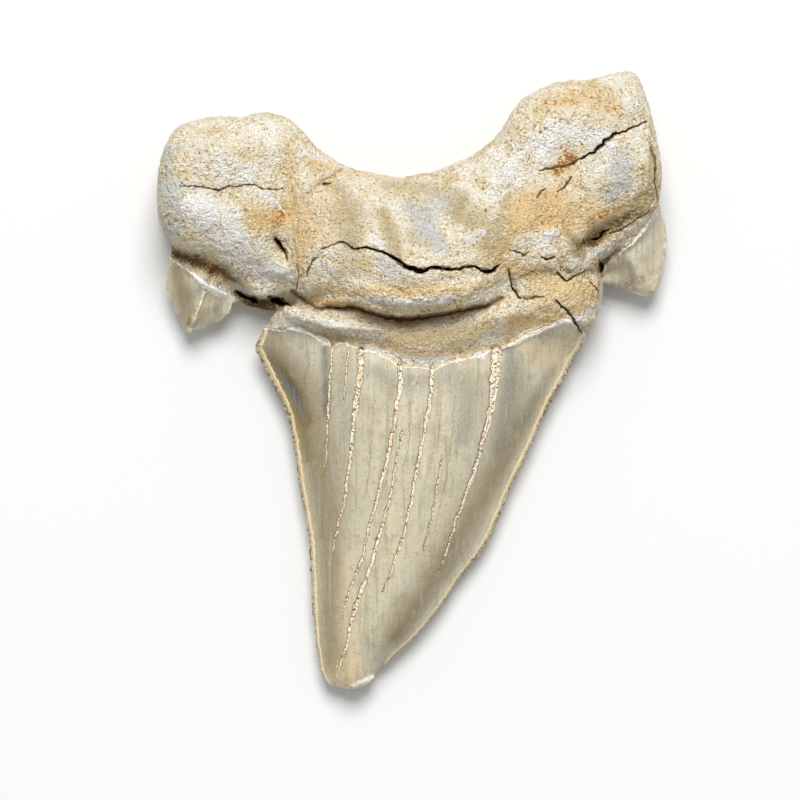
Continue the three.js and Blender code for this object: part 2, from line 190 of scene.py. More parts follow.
# Hairline cracks, as (x, y, width).
HAIRLINES = [
    [(-12.7, 12.5, 0.12), (-12.4, 13.7, 0.16), (-11.8, 14.6, 0.16), (-11.4, 14.8, 0.12)],
    [(13.2, 9.9, 0.12), (14.0, 10.0, 0.16), (15.8, 10.2, 0.08)],
    [(14.9, 25.2, 0.12), (15.8, 25.4, 0.2), (17.6, 25.7, 0.16)],
    [(18.8, 24.4, 0.2), (18.0, 23.2, 0.24), (17.2, 22.6, 0.1)],
    [(15.8, 23.0, 0.12), (15.2, 22.6, 0.18), (14.6, 21.7, 0.1)],
    [(23.4, 17.6, 0.24), (23.9, 17.8, 0.2), (25.7, 18.7, 0.18), (28.2, 20.4, 0.12)],
    [(11.4, 15.8, 0.12), (13.1, 15.0, 0.2), (14.0, 15.6, 0.12)],
    [(21.2, 12.0, 0.12), (22.2, 10.9, 0.14)],
    [(28.1, 28.6, 0.06), (28.9, 26.2, 0.14), (28.8, 23.8, 0.12), (29.3, 21.8, 0.06)],
    [(-13.8, 14.0, 0.05), (-13.6, 12.4, 0.08), (-13.9, 10.9, 0.07)],
    [(-4.6, -0.8, 0.04), (-4.9, -6.0, 0.08), (-5.2, -10.5, 0.08), (-5.8, -14.0, 0.04)],
    [(-2.2, -3.0, 0.03), (-2.6, -9.0, 0.07), (-3.8, -14.0, 0.05)],
    [(-0.2, -2.4, 0.04), (-0.5, -7.0, 0.08), (-1.4, -12.0, 0.05)],
    [(3.4, -1.4, 0.03), (3.2, -5.0, 0.07), (2.9, -8.6, 0.05)],
    [(5.0, -2.0, 0.03), (4.6, -7.0, 0.07), (3.9, -12.0, 0.07), (2.6, -17.5, 0.04)],
    [(-10.4, -7.0, 0.05), (-10.8, -14.0, 0.08), (-11.0, -18.0, 0.04)],
    [(-12.2, 3.6, 0.03), (-12.9, 0.6, 0.09), (-13.2, -1.4, 0.04)],
]

# The dark seam where the root's lip overhangs the neck, as (x, y, width).
LIP_SEAM = [
    (-14.6, 11.0, 0.1), (-13.6, 10.2, 0.21), (-12.8, 9.6, 0.19), (-11.6, 8.9, 0.25), (-10.6, 8.9, 0.21),
    (-8.8, 8.8, 0.29), (-7.6, 8.9, 0.21), (-6.4, 8.7, 0.19), (-4.9, 8.1, 0.27), (-2.8, 7.5, 0.35),
    (-1.6, 7.4, 0.37), (0.8, 7.5, 0.37), (3.2, 7.9, 0.33), (5.6, 8.4, 0.29), (8.0, 8.9, 0.22),
    (10.8, 9.9, 0.1),
]

# Low ridges, which rise, and grooves, which sink, as (rise, line of (x, y, width)).
RIDGES_AND_GROOVES = [
    (1.2, [(-14.8, 8.2, 1.08), (-11.2, 7.4, 1.56), (-7.3, 6.4, 1.68), (-3.5, 5.6, 1.2)]),
    (0.3, [(10.4, 7.8, 1.44), (14.3, 8.8, 1.92), (17.2, 9.5, 1.44)]),
    (0.35, [(-25.0, 10.9, 0.42), (-25.9, 8.4, 0.42), (-26.9, 6.1, 0.36)]),
    (0.45, [
        (-27.2, 13.7, 0.36), (-26.0, 12.7, 0.72), (-24.6, 11.6, 1.08), (-22.9, 10.6, 1.2),
        (-21.6, 10.0, 0.72),
    ]),
    (0.3, [(25.7, 15.1, 0.72), (27.2, 13.2, 0.72), (28.8, 10.9, 0.6)]),
    (0.35, [(22.8, 13.7, 0.72), (24.8, 15.6, 0.72), (27.0, 17.5, 0.72), (29.3, 20.3, 0.6)]),
    (-0.4, [(23.6, 13.2, 1.44), (25.0, 13.6, 1.8), (26.2, 12.6, 1.2)]),
    (-0.55, [
        (20.3, 16.2, 0.96), (21.5, 16.8, 1.68), (22.9, 17.9, 1.8), (24.5, 18.8, 1.56), (26.0, 19.6, 0.96),
    ]),
    (-0.2, [(23.9, 19.6, 0.96), (25.8, 20.8, 1.2), (27.5, 22.1, 0.84)]),
    (0.12, [(21.1, 14.9, 0.96), (23.0, 16.1, 1.2), (25.4, 17.5, 0.96), (28.0, 19.3, 0.72)]),
    (-0.25, [(-15.2, 20.3, 0.48), (-15.4, 21.8, 0.48), (-15.1, 23.4, 0.48)]),
    (0.2, [(-17.5, 22.6, 0.36), (-15.2, 20.3, 0.36)]),
    (-0.35, [(-12.6, 22.3, 0.6), (-11.2, 23.8, 0.72), (-8.6, 25.2, 0.6)]),
    (-0.25, [(27.0, 32.4, 0.36), (28.0, 29.0, 0.42), (28.4, 25.2, 0.42), (28.1, 21.4, 0.36)]),
    (-0.25, [(26.2, 31.2, 0.36), (27.0, 27.8, 0.42), (27.6, 24.2, 0.42), (27.0, 20.9, 0.36)]),
    (0.55, [(15.6, 17.5, 1.68), (16.8, 17.5, 1.8)]),
    (0.25, [(-4.7, 17.0, 0.6), (-3.8, 15.6, 0.72)]),
    (-0.3, [(10.4, 14.4, 0.6), (11.9, 12.0, 0.48), (12.4, 10.1, 0.6), (15.2, 9.8, 0.6)]),
    (0.25, [(-18.1, 6.4, 0.42), (-15.4, 6.6, 0.42), (-12.4, 5.9, 0.42), (-10.9, 4.9, 0.42)]),
    (0.22, [(11.4, 4.3, 0.48), (14.0, 5.5, 0.48), (16.4, 6.6, 0.48), (18.8, 7.4, 0.48)]),
    (0.3, [(-21.0, 13.7, 1.2), (-18.1, 13.2, 1.92), (-15.1, 13.4, 1.2)]),
    (-0.35, [(-18.1, 3.6, 1.2), (-16.1, 1.0, 1.44), (-14.0, -2.4, 1.2)]),
    (0.4, [(19.3, 7.2, 1.44), (22.0, 7.2, 1.68)]),
    (0.35, [(-7.3, -36.7, 0.48), (-6.1, -36.1, 0.6), (-4.9, -35.3, 0.48)]),
]

# Stains of the root and of the enamel by kind, as (strength, line of (x, y, width)). Some entries are
# painted light or painted shade, as marked.
STAINS = {
    "ochre": [
        (0.9, [(-19.6, 19.4, 2.4), (-17.2, 19.2, 4.08), (-15.0, 20.4, 2.64)]),
        (0.65, [
            (-14.8, 27.8, 1.2), (-14.5, 24.2, 1.92), (-13.8, 21.2, 3.6), (-13.0, 17.6, 4.08),
            (-13.6, 14.4, 2.4),
        ]),
        (0.4, [(-11.4, 25.2, 2.4), (-10.0, 21.8, 4.8), (-10.0, 16.8, 4.32)]),
        (0.6, [(-13.0, 26.6, 0.72), (-8.8, 25.2, 0.84), (-4.0, 24.5, 0.84), (1.4, 24.7, 0.6)]),
        (0.7, [
            (-11.4, 11.0, 1.68), (-7.3, 10.3, 2.64), (-1.6, 10.6, 3.36), (3.8, 10.8, 3.12),
            (9.0, 11.3, 2.16),
        ]),
        (0.2, [(-21.0, 27.6, 3.12), (-17.9, 29.0, 2.16)]),
        (0.15, [(-22.9, 29.0, 2.64), (-21.2, 26.6, 2.88), (-19.6, 26.2, 2.16)]),
        (0.8, [(10.4, 14.2, 2.88), (13.8, 13.2, 4.08), (17.2, 11.3, 4.08), (21.2, 11.3, 2.4)]),
        (0.45, [(24.6, 25.7, 1.2), (25.8, 23.6, 1.68)]),
        (0.4, [(10.4, 15.8, 1.68), (8.0, 14.4, 2.4), (4.4, 13.2, 1.68)]),
        (0.7, [(12.8, 20.4, 4.08), (15.8, 20.2, 5.28), (19.4, 19.9, 5.28), (22.7, 20.9, 3.36)]),
        (0.4, [(11.4, 17.0, 2.88), (12.8, 21.8, 3.6), (17.6, 22.3, 3.6)]),
        (0.8, [
            (-6.1, 3.6, 0.96), (-1.6, 2.9, 1.08), (3.2, 2.6, 1.08), (8.3, 3.6, 1.08), (11.4, 4.8, 0.72),
        ]),
        (0.5, [(15.8, 33.8, 2.4), (21.2, 33.8, 5.28), (25.4, 32.4, 3.6)]),
        # Partly painted light: ochre at full strength brightens the concave right of the neck, which is
        # ochre and lies in shade.
        (1.0, [(11.4, 7.0, 2.16), (15.2, 7.8, 3.12), (18.8, 8.6, 2.4)]),
        (0.7, [
            (-13.6, 10.1, 0.6), (-9.4, 9.4, 0.72), (-4.0, 8.5, 0.72), (2.0, 8.2, 0.6), (9.2, 9.2, 0.48),
        ]),
        (0.5, [(19.1, 9.1, 1.92), (21.5, 9.8, 2.16)]),
        (0.9, [(-8.2, 10.0, 1.08), (-3.4, 9.6, 1.68), (2.0, 9.5, 1.68), (6.8, 10.2, 1.08)]),
        (0.5, [(17.6, 8.9, 1.68), (20.5, 9.6, 1.92)]),
        (0.25, [(-20.8, 14.9, 1.92), (-18.1, 14.4, 2.88), (-15.5, 14.4, 1.68)]),
        (0.6, [(-4.9, 4.7, 0.72), (-1.6, 3.8, 0.84), (3.2, 3.6, 0.84), (7.8, 4.3, 0.72)]),
        (0.5, [(12.8, 19.2, 2.4), (15.8, 19.9, 4.08), (18.4, 20.2, 3.6)]),
    ],
    "drab": [
        (0.75, [(-9.0, 23.0, 1.92), (-7.6, 20.2, 4.8), (-7.3, 16.3, 3.36)]),
        (0.6, [(-3.4, 23.5, 2.4), (1.4, 23.0, 2.88), (5.9, 21.8, 2.88)]),
        (0.75, [(5.0, 20.2, 3.12), (7.6, 18.5, 5.04), (8.8, 15.8, 3.36)]),
        (0.6, [(-0.1, 17.5, 2.88), (3.2, 16.3, 2.4)]),
        (0.8, [(-3.6, 20.2, 1.68), (-2.5, 17.0, 2.64), (-1.8, 14.9, 1.68)]),
        (0.85, [(-8.8, 5.3, 1.2), (-4.0, 5.0, 2.88), (1.4, 5.0, 3.36), (6.8, 5.8, 2.64), (9.5, 6.7, 1.44)]),
        (0.2, [(-24.4, 29.6, 2.88), (-21.2, 27.8, 3.6)]),
        (0.35, [(-28.9, 29.0, 1.2), (-29.8, 25.4, 1.44), (-29.8, 21.8, 1.2)]),
        (0.5, [(-13.6, 18.2, 2.4), (-13.6, 14.6, 2.88), (-14.0, 12.0, 1.92)]),
        (0.12, [(12.6, 11.0, 2.16), (16.2, 11.8, 3.12)]),
        (0.75, [(10.7, 23.0, 1.92), (11.4, 18.8, 3.12), (10.7, 15.6, 2.64)]),
        (0.75, [(26.0, 19.2, 1.68), (28.1, 22.3, 1.68), (28.6, 27.8, 1.2)]),
        (0.35, [(21.7, 34.6, 2.4), (23.9, 33.6, 1.92)]),
        (0.5, [(-5.2, 14.4, 2.4), (-8.8, 12.8, 2.88), (-10.0, 10.8, 1.68)]),
        (0.9, [(17.9, 18.2, 0.96), (19.2, 16.8, 1.68), (20.0, 15.1, 1.44)]),
        # Partly painted shade: a drab band under the left lobe's lower edge, which faces away from the
        # light; it is also gold-brown there.
        (0.9, [
            (-29.6, 16.3, 1.2), (-27.7, 15.1, 2.4), (-25.1, 14.0, 2.64), (-22.4, 13.1, 2.16),
            (-20.5, 12.0, 1.2),
        ]),
        (0.8, [
            (19.6, 16.1, 1.68), (22.0, 17.8, 3.36), (24.4, 19.4, 3.12), (26.5, 20.9, 2.16),
            (28.0, 22.3, 1.2),
        ]),
    ],
    "grey": [
        (0.45, [(-29.4, 20.0, 2.64), (-26.2, 19.9, 6.0), (-22.6, 18.7, 6.0), (-20.2, 17.0, 3.6)]),
        (0.9, [(-29.6, 27.8, 1.2), (-29.0, 23.0, 2.88), (-28.6, 18.0, 2.64)]),
        (0.45, [(-28.9, 27.6, 1.92), (-27.0, 28.3, 2.16), (-25.6, 27.6, 1.44)]),
        (0.5, [(-28.4, 23.5, 0.96), (-23.8, 23.4, 1.44), (-20.5, 23.2, 0.96)]),
        (1.0, [(-0.4, 21.1, 1.92), (1.0, 19.4, 3.6), (2.0, 17.3, 2.64), (3.5, 16.1, 1.2)]),
        (0.5, [(1.8, 21.8, 1.92), (4.7, 21.1, 2.88)]),
        (0.8, [(-4.2, 14.4, 1.44), (-2.5, 13.7, 2.88), (-1.2, 12.7, 1.68)]),
        (0.85, [(22.4, 29.0, 1.92), (24.4, 26.6, 4.56), (25.1, 24.0, 3.6), (23.6, 22.1, 1.92)]),
        (0.8, [(21.0, 16.3, 1.2), (22.4, 15.2, 2.16), (23.9, 14.4, 1.2)]),
        (0.4, [(-11.4, 7.4, 1.2), (-7.8, 7.2, 1.68), (-4.9, 6.7, 0.96)]),
        (0.25, [(13.8, 27.6, 1.2), (15.8, 29.0, 2.4), (17.2, 27.8, 1.44)]),
        (0.3, [(-22.6, 16.3, 1.68), (-19.6, 15.1, 3.12)]),
    ],
    "rust": [
        (0.38, [(-18.6, 18.5, 1.2), (-16.9, 19.0, 2.4), (-15.5, 20.2, 1.68)]),
        (0.2, [(13.6, 7.9, 1.44), (16.2, 8.6, 1.44)]),
        (1.15, [(17.0, 25.0, 1.2), (17.9, 25.9, 2.16), (19.1, 26.9, 1.2)]),
        (0.8, [(17.6, 27.8, 0.6), (18.4, 26.9, 0.96), (18.1, 25.4, 1.2)]),
        (0.3, [(17.6, 24.5, 0.96), (16.7, 21.2, 1.44), (16.0, 18.5, 2.16), (16.7, 16.8, 1.44)]),
        (0.22, [(12.4, 21.6, 2.4), (15.2, 19.7, 5.04), (18.4, 18.8, 5.04), (21.5, 20.4, 3.6)]),
        (0.25, [(11.0, 20.0, 1.68), (12.8, 18.0, 3.12), (16.0, 16.3, 2.88), (19.1, 16.3, 1.68)]),
        (0.55, [(14.5, 32.4, 1.2), (16.7, 33.4, 2.4), (19.1, 33.4, 1.68)]),
        (0.5, [(19.4, 34.8, 1.44), (21.5, 34.2, 3.36), (23.4, 33.1, 3.36), (24.6, 31.9, 1.68)]),
        (0.5, [(22.4, 23.0, 1.68), (23.9, 21.8, 2.4), (25.6, 22.6, 1.44)]),
        (0.6, [(20.6, 18.7, 0.96), (22.7, 20.0, 1.2), (25.6, 21.2, 0.96)]),
        (0.8, [(21.7, 14.4, 1.2), (22.8, 13.2, 1.68), (22.4, 11.5, 1.2)]),
        (0.8, [(-11.9, 9.6, 0.6), (-9.4, 9.1, 0.72), (-7.0, 8.8, 0.72), (-4.4, 8.2, 0.48)]),
        (0.6, [(-19.4, 18.2, 0.96), (-18.7, 17.5, 1.44), (-18.1, 17.0, 0.96)]),
        (0.45, [(-16.1, 21.1, 0.96), (-15.5, 19.9, 1.44), (-16.1, 18.7, 0.96)]),
        (0.25, [
            (10.4, 4.8, 0.72), (6.8, 3.8, 0.72), (3.2, 3.5, 0.72), (-1.6, 3.5, 0.72), (-4.9, 4.3, 0.6),
        ]),
        (0.45, [(22.4, 14.2, 0.36), (25.1, 16.0, 0.48), (27.2, 18.1, 0.48), (29.0, 20.4, 0.36)]),
    ],
    "umber": [
        (0.35, [(18.4, 18.0, 0.72), (19.3, 16.8, 0.96), (20.0, 15.6, 0.72)]),
        # Partly painted shade: the dark band under the left lobe's lower edge, which faces away from the
        # light; it is also gold-brown there.
        (0.95, [
            (-29.4, 15.8, 0.6), (-27.7, 15.0, 1.08), (-25.3, 14.2, 1.56), (-22.9, 13.2, 1.32),
            (-21.0, 12.2, 0.72),
        ]),
        (0.35, [(-30.4, 25.7, 0.48), (-30.4, 21.8, 0.6), (-29.6, 17.5, 0.72)]),
        (0.9, [(-22.0, 9.4, 0.72), (-19.6, 9.0, 1.08), (-16.7, 8.5, 1.08)]),
        (0.85, [(-21.5, 10.6, 0.72), (-19.8, 10.0, 1.08), (-17.9, 9.6, 1.08), (-15.5, 9.6, 0.84)]),
        (0.25, [(-18.8, 20.2, 1.68), (-16.9, 18.5, 2.16), (-15.0, 17.0, 1.68)]),
        (0.7, [(20.5, 16.8, 0.96), (21.6, 16.9, 1.44), (22.7, 17.8, 1.08)]),
        (0.4, [
            (20.0, 16.3, 1.2), (21.8, 17.0, 2.16), (23.6, 18.4, 1.92), (25.4, 19.6, 1.44),
            (27.0, 20.8, 0.96),
        ]),
        (0.5, [(17.6, 13.7, 0.72), (19.8, 12.7, 0.96), (21.5, 13.4, 0.96)]),
        (0.35, [(28.2, 29.0, 0.48), (29.0, 24.8, 0.6), (29.3, 21.2, 0.6), (28.2, 18.7, 0.6)]),
        (0.6, [(22.2, 14.4, 0.72), (22.9, 12.5, 0.96)]),
        (0.7, [(-16.7, 17.5, 0.48), (-16.0, 16.6, 0.72), (-15.0, 15.0, 0.36)]),
        (0.4, [(13.3, 12.8, 0.72), (15.2, 13.7, 0.96), (17.2, 12.8, 0.72)]),
        (0.45, [(-8.5, 25.3, 0.48), (-10.6, 24.1, 0.48), (-12.5, 22.4, 0.48)]),
        (0.5, [(-20.3, 14.0, 0.3), (-18.1, 14.4, 0.36), (-16.4, 14.2, 0.3)]),
    ],
    "pale": [
        (0.45, [(-26.0, 26.6, 2.64), (-22.9, 25.9, 4.08), (-19.8, 25.2, 3.12)]),
        # Partly painted light: the neck's left end, a whitish layer, is made paler against the shadow that
        # the lip casts on it.
        (0.6, [(-14.0, 8.0, 1.2), (-10.6, 7.2, 1.68), (-7.0, 6.0, 1.44), (-3.4, 5.3, 0.96)]),
        # Partly painted light: pale along the lip, which is cream but turns from the light before the seam.
        (0.4, [
            (-10.0, 10.3, 1.44), (-5.2, 9.4, 1.92), (-0.4, 9.1, 2.16), (4.4, 9.8, 1.92), (9.2, 10.8, 1.2),
        ]),
        (0.4, [(17.6, 7.7, 1.68), (20.0, 7.4, 1.92), (22.0, 9.1, 1.68)]),
        # Painted light: pale on the left lobe's lower slope, which the solid turns from the light.
        (0.6, [(-22.9, 17.0, 2.64), (-19.6, 16.3, 3.12), (-16.9, 16.8, 2.4)]),
        # Partly painted light: pale on the left lobe, which is whitish but lies in the solid's shade.
        (0.55, [(-26.8, 21.2, 3.6), (-22.9, 19.7, 4.32), (-20.8, 17.5, 2.4)]),
        (0.5, [(3.2, 12.0, 0.96), (5.9, 11.8, 1.2), (8.0, 12.2, 0.96)]),
        # Partly painted light: pale along the lip, which is cream but turns from the light before the seam.
        (0.35, [(-7.3, 10.0, 0.96), (-3.4, 9.6, 1.2), (0.8, 9.5, 1.32), (5.0, 10.0, 0.96)]),
        (0.25, [(12.4, 7.7, 1.2), (15.5, 8.4, 1.68), (19.1, 9.4, 1.44), (21.2, 9.8, 0.96)]),
        (0.75, [(17.6, 30.2, 1.68), (20.0, 29.3, 2.64), (22.7, 30.0, 1.68)]),
        (0.6, [(9.2, 21.6, 1.68), (11.0, 24.7, 4.32), (12.8, 27.8, 4.8), (15.2, 29.3, 3.6)]),
        (0.55, [(16.4, 30.8, 1.68), (17.6, 29.0, 3.12), (15.8, 27.1, 3.12)]),
        (0.7, [(22.2, 25.7, 2.4), (23.2, 27.6, 2.88), (24.0, 29.3, 1.92)]),
        (0.8, [(14.5, 16.8, 1.44), (15.8, 17.0, 2.4), (17.2, 17.8, 1.44)]),
        (0.5, [(12.1, 14.9, 1.44), (14.0, 14.2, 1.92), (16.2, 14.4, 1.44)]),
        (1.0, [(-4.9, 17.2, 0.6), (-4.2, 16.3, 0.96), (-3.6, 15.2, 0.6)]),
        (0.6, [(5.6, 18.0, 1.2), (6.8, 17.0, 2.4), (8.0, 17.8, 1.2)]),
        (0.7, [(-21.0, 13.2, 2.4), (-18.1, 12.7, 3.84), (-15.1, 13.0, 2.16)]),
        (0.5, [(24.6, 34.8, 1.68), (26.3, 32.6, 2.4), (26.9, 30.5, 1.44)]),
        (0.45, [(-22.2, 30.5, 1.2), (-18.8, 31.1, 1.92), (-16.9, 30.4, 1.2)]),
        (0.5, [(-19.3, 23.6, 1.2), (-17.4, 22.1, 1.44), (-15.8, 20.8, 0.96)]),
        # Partly painted light: pale on the left lobe, which is whitish but lies in the solid's shade.
        (0.4, [(-26.8, 21.8, 2.4), (-23.9, 20.4, 2.88)]),
        (0.9, [(-17.5, 22.6, 0.3), (-15.2, 20.3, 0.3)]),
        (1.0, [(-26.0, 12.5, 0.6), (-24.4, 11.5, 1.2), (-22.9, 10.8, 1.68), (-21.6, 9.8, 0.84)]),
        (0.6, [(-25.0, 10.8, 0.24), (-25.9, 8.4, 0.24), (-26.9, 6.1, 0.24)]),
        (0.5, [(-29.3, 15.1, 0.24), (-29.8, 11.8, 0.24), (-28.9, 9.2, 0.24), (-27.6, 6.2, 0.24)]),
        (0.5, [(-26.6, 6.4, 0.24), (-24.1, 7.0, 0.24), (-22.2, 8.3, 0.24), (-21.7, 9.7, 0.24)]),
        (0.5, [(25.1, 10.9, 0.24), (28.4, 10.3, 0.24), (30.0, 13.4, 0.24), (30.5, 18.0, 0.24)]),
        (0.5, [(22.8, 13.7, 0.48), (24.8, 15.6, 0.48), (27.0, 17.5, 0.48), (29.3, 20.3, 0.48)]),
        (0.9, [
            (-18.1, 6.2, 0.26), (-15.4, 6.5, 0.26), (-12.4, 5.8, 0.26), (-10.9, 4.8, 0.26),
            (-9.6, 4.3, 0.26),
        ]),
        (0.9, [
            (11.4, 4.2, 0.26), (14.0, 5.4, 0.29), (16.4, 6.5, 0.29), (18.8, 7.3, 0.29), (20.3, 7.7, 0.26),
        ]),
        (0.7, [(-7.6, -36.6, 0.36), (-6.4, -36.1, 0.48), (-5.0, -35.3, 0.36)]),
        (0.7, [(-3.2, -33.7, 0.3), (-4.3, -35.0, 0.3), (-5.6, -36.2, 0.3)]),
        (0.5, [(-11.0, -35.3, 0.24), (-10.0, -36.5, 0.24), (-8.5, -37.2, 0.24)]),
        (0.5, [(-7.1, -32.9, 0.18), (-7.4, -35.0, 0.18)]),
        (0.5, [(-5.0, -33.6, 0.18), (-5.5, -35.3, 0.18)]),
        (0.45, [(-9.0, -33.6, 0.18), (-9.2, -35.5, 0.18)]),
        (0.7, [(-5.6, 4.2, 0.72), (-3.0, 3.2, 0.96), (0.2, 2.6, 1.08), (4.4, 2.6, 0.96), (8.6, 3.6, 0.84)]),
        (0.8, [
            (-21.2, 11.5, 0.36), (-19.9, 10.8, 0.48), (-18.6, 11.0, 0.36), (-17.4, 10.8, 0.48),
            (-16.0, 10.3, 0.36),
        ]),
        (0.5, [(23.2, 16.2, 0.84), (25.1, 17.2, 1.08), (27.2, 18.6, 0.84)]),
        # Painted light: pale on the right cusp's lower facet, which faces down, away from the light.
        (0.4, [(25.8, 11.5, 0.6), (27.7, 11.3, 0.96), (29.0, 12.5, 0.72)]),
    ],
    "olive": [
        (0.22, [(-1.1, -25.7, 2.88), (-3.0, -30.5, 2.4), (-4.0, -33.4, 1.92)]),
        (0.5, [(-17.4, 2.6, 1.2), (-15.5, 0.5, 1.68), (-13.8, -1.9, 1.68), (-12.8, -5.0, 1.44)]),
        (0.62, [
            (-17.2, 4.4, 2.16), (-15.0, 1.0, 5.52), (-12.8, -3.6, 7.44), (-11.4, -8.8, 7.2),
            (-10.4, -14.8, 6.0), (-10.0, -21.4, 4.08), (-10.0, -28.6, 2.64), (-9.7, -33.6, 1.44),
        ]),
        (0.25, [(-18.1, 3.1, 0.96), (-16.0, 0.2, 1.68), (-14.0, -3.1, 1.92), (-12.8, -9.4, 1.68)]),
        (0.32, [
            (11.9, 0.2, 3.6), (12.4, -2.6, 7.2), (10.4, -8.2, 7.2), (7.3, -14.2, 6.0), (4.0, -20.2, 6.0),
            (0.4, -26.2, 5.04), (-2.3, -31.0, 3.12),
        ]),
        (0.36, [
            (17.2, 1.7, 1.44), (14.8, -2.9, 2.4), (11.9, -7.4, 3.12), (8.3, -14.2, 3.36),
            (4.7, -20.2, 3.12), (1.1, -26.2, 2.4), (-1.8, -30.7, 1.44),
        ]),
        (0.7, [(-28.4, 13.4, 2.16), (-27.5, 10.3, 3.6), (-27.1, 7.2, 1.68)]),
        (0.45, [(-23.6, 9.1, 1.2), (-23.2, 7.9, 1.2)]),
        (0.5, [(23.4, 13.2, 1.44), (25.1, 13.4, 1.68), (26.5, 12.2, 1.2)]),
        (0.25, [(27.2, 18.0, 1.2), (28.7, 15.6, 1.68)]),
        (0.35, [(-2.5, 0.2, 0.6), (-3.2, -7.0, 0.6), (-4.9, -16.6, 0.6)]),
        (0.3, [(3.2, 0.2, 0.48), (2.3, -8.2, 0.6), (0.6, -16.6, 0.48)]),
    ],
    "steel": [
        (0.75, [
            (-18.1, 3.5, 0.84), (-16.9, 1.8, 1.44), (-15.5, 0.2, 1.56), (-14.2, -1.6, 1.44),
            (-13.3, -3.6, 0.96),
        ]),
        (0.65, [(-10.6, 4.3, 1.08), (-10.4, 0.2, 1.32), (-10.4, -4.0, 0.96)]),
        (0.5, [(11.6, 3.6, 1.68), (11.9, 0.2, 3.36), (11.2, -3.6, 3.6), (10.0, -8.2, 2.16)]),
        (0.3, [(16.7, 1.2, 1.68), (14.8, -1.9, 2.4), (12.6, -5.5, 1.92)]),
        (0.42, [
            (-4.9, 1.4, 2.64), (-1.6, -0.4, 4.08), (2.0, 0.8, 3.84), (5.2, 1.2, 3.84), (6.6, -2.2, 4.32),
            (5.9, -7.0, 3.12),
        ]),
        (0.3, [(-8.2, 2.6, 2.4), (-7.8, -2.2, 2.88), (-8.2, -7.0, 2.16)]),
    ],
    "warm": [
        (1.0, [(-26.8, 7.2, 1.2), (-25.7, 8.6, 1.68), (-24.6, 9.8, 1.2)]),
        # Painted light: warm on the right cusp's lower facet, which faces down, away from the light.
        (0.8, [(26.8, 11.3, 1.44), (28.2, 12.0, 1.92), (29.3, 14.2, 1.44)]),
        (0.6, [(-8.2, -21.4, 3.6), (-8.2, -28.6, 4.8), (-7.9, -36.0, 4.8)]),
        (0.7, [(-8.8, -33.4, 3.12), (-8.0, -35.3, 4.08), (-7.6, -37.0, 3.6)]),
        (1.0, [(13.8, 3.6, 3.12), (16.7, 3.6, 4.08), (19.3, 4.8, 2.4)]),
        (0.4, [(-1.6, -10.6, 2.4), (-2.5, -21.4, 3.6)]),
    ],
}

# What the material reads at each point of the surface.
MEASURES = (
    ("enamel", "fissure", "rim", "grain", "slope")
    + ("crack", "crack_width", "crack_bank", "seam", "seam_width", "hairline", "hairline_width")
    + tuple(STAINS)
)


def linear(hex_colour):
    """The linear colour of an sRGB hex value."""
    channels = [int(hex_colour[i : i + 2], 16) / 255 for i in (1, 3, 5)]
    return tuple(c / 12.92 if c <= 0.04045 else ((c + 0.055) / 1.055) ** 2.4 for c in channels)


def colour_property(name, hex_colour, description):
    return FloatVectorProperty(
        name=name, description=description, subtype="COLOR", size=3, min=0, max=1, default=linear(hex_colour)
    )


def length_property(name, millimetres, description):
    return FloatProperty(
        name=name, description=description, default=millimetres * MM, unit="LENGTH", precision=5
    )


class ToothSurfaceSettings(bpy.types.PropertyGroup):
    spacing: length_property("Surface spacing", 0.55, "Distance between points where the surface is plain")
    grain: length_property("Grain height", 0.20, "How far the grains of the root stand up")
    swell: length_property("Swell height", 0.30, "How far the small lumps of the root stand up")
    enamel_step: length_property("Enamel step", 0.26, "Thickness of the enamel where it stops on the neck")
    chip: length_property("Chip depth", 0.18, "Depth of the nicks in the cutting edges")
    lip: length_property("Lip", 3.5, "How far the root's lip stands out over the neck")
    neck_fill: length_property("Neck fill", 1.7, "How far the neck is fuller than the plain solid")
    rim_rise: length_property("Rim rise", 0.16, "How far the rim inside a cutting edge stands up")


class ToothColourSettings(bpy.types.PropertyGroup):
    cream: colour_property("Cream", "#f7f0db", "Bare root")
    tan: colour_property("Tan", "#e6d5a8", "Darker parts of the root")
    # Drab also lays painted shade under the left lobe's lower edge.
    drab: colour_property("Drab", "#bca97a", "Olive tan of the root's middle and of the neck")
    grey: colour_property("Grey", "#cdd2d0", "Blue-grey bloom on the lobes")
    # Pale also lays painted light on faces that the solid turns from the light: the left lobe, the lip, the
    # neck's left end and the right cusp's lower facet.
    pale: colour_property("Pale", "#fcfaf2", "Chalky patches and crumbs")
    # Ochre is laid stronger on the right of the neck, partly as painted light.
    ochre: colour_property("Ochre", "#ecc98a", "Ochre stain")
    # Amber is also painted shade on steep faces and, with umber, in the seam under the lip.
    amber: colour_property("Amber", "#ad8850", "Thin soil between the grains")
    sienna: colour_property("Sienna", "#ecbb74", "Thin iron stain")
    rust: colour_property("Rust", "#b0702a", "Iron stain")
    # Umber is also painted shade under the left lobe's lower edge and in the seam under the lip.
    umber: colour_property("Umber", "#4e3a1c", "Soil in the hollows")
    # Painted shade as well as soil: the near-black laid deep in the fissures.
    soil_and_shade_deep_in_fissures: colour_property("Soot", "#17100a", "Soil deep in the fissures")
    enamel: colour_property("Enamel", "#cbc4ab", "Middle of the crown")
    steel: colour_property("Steel", "#656a6b", "Blue-grey enamel")
    olive: colour_property("Olive", "#806d40", "Brown enamel at the crown's flanks")
    # Warm also lays painted light on the right cusp's lower facet.
    warm: colour_property("Warm", "#dcc8a0", "Warm enamel near the tip")
    rim: colour_property("Rim", "#d9caa4", "Worn cutting edge")


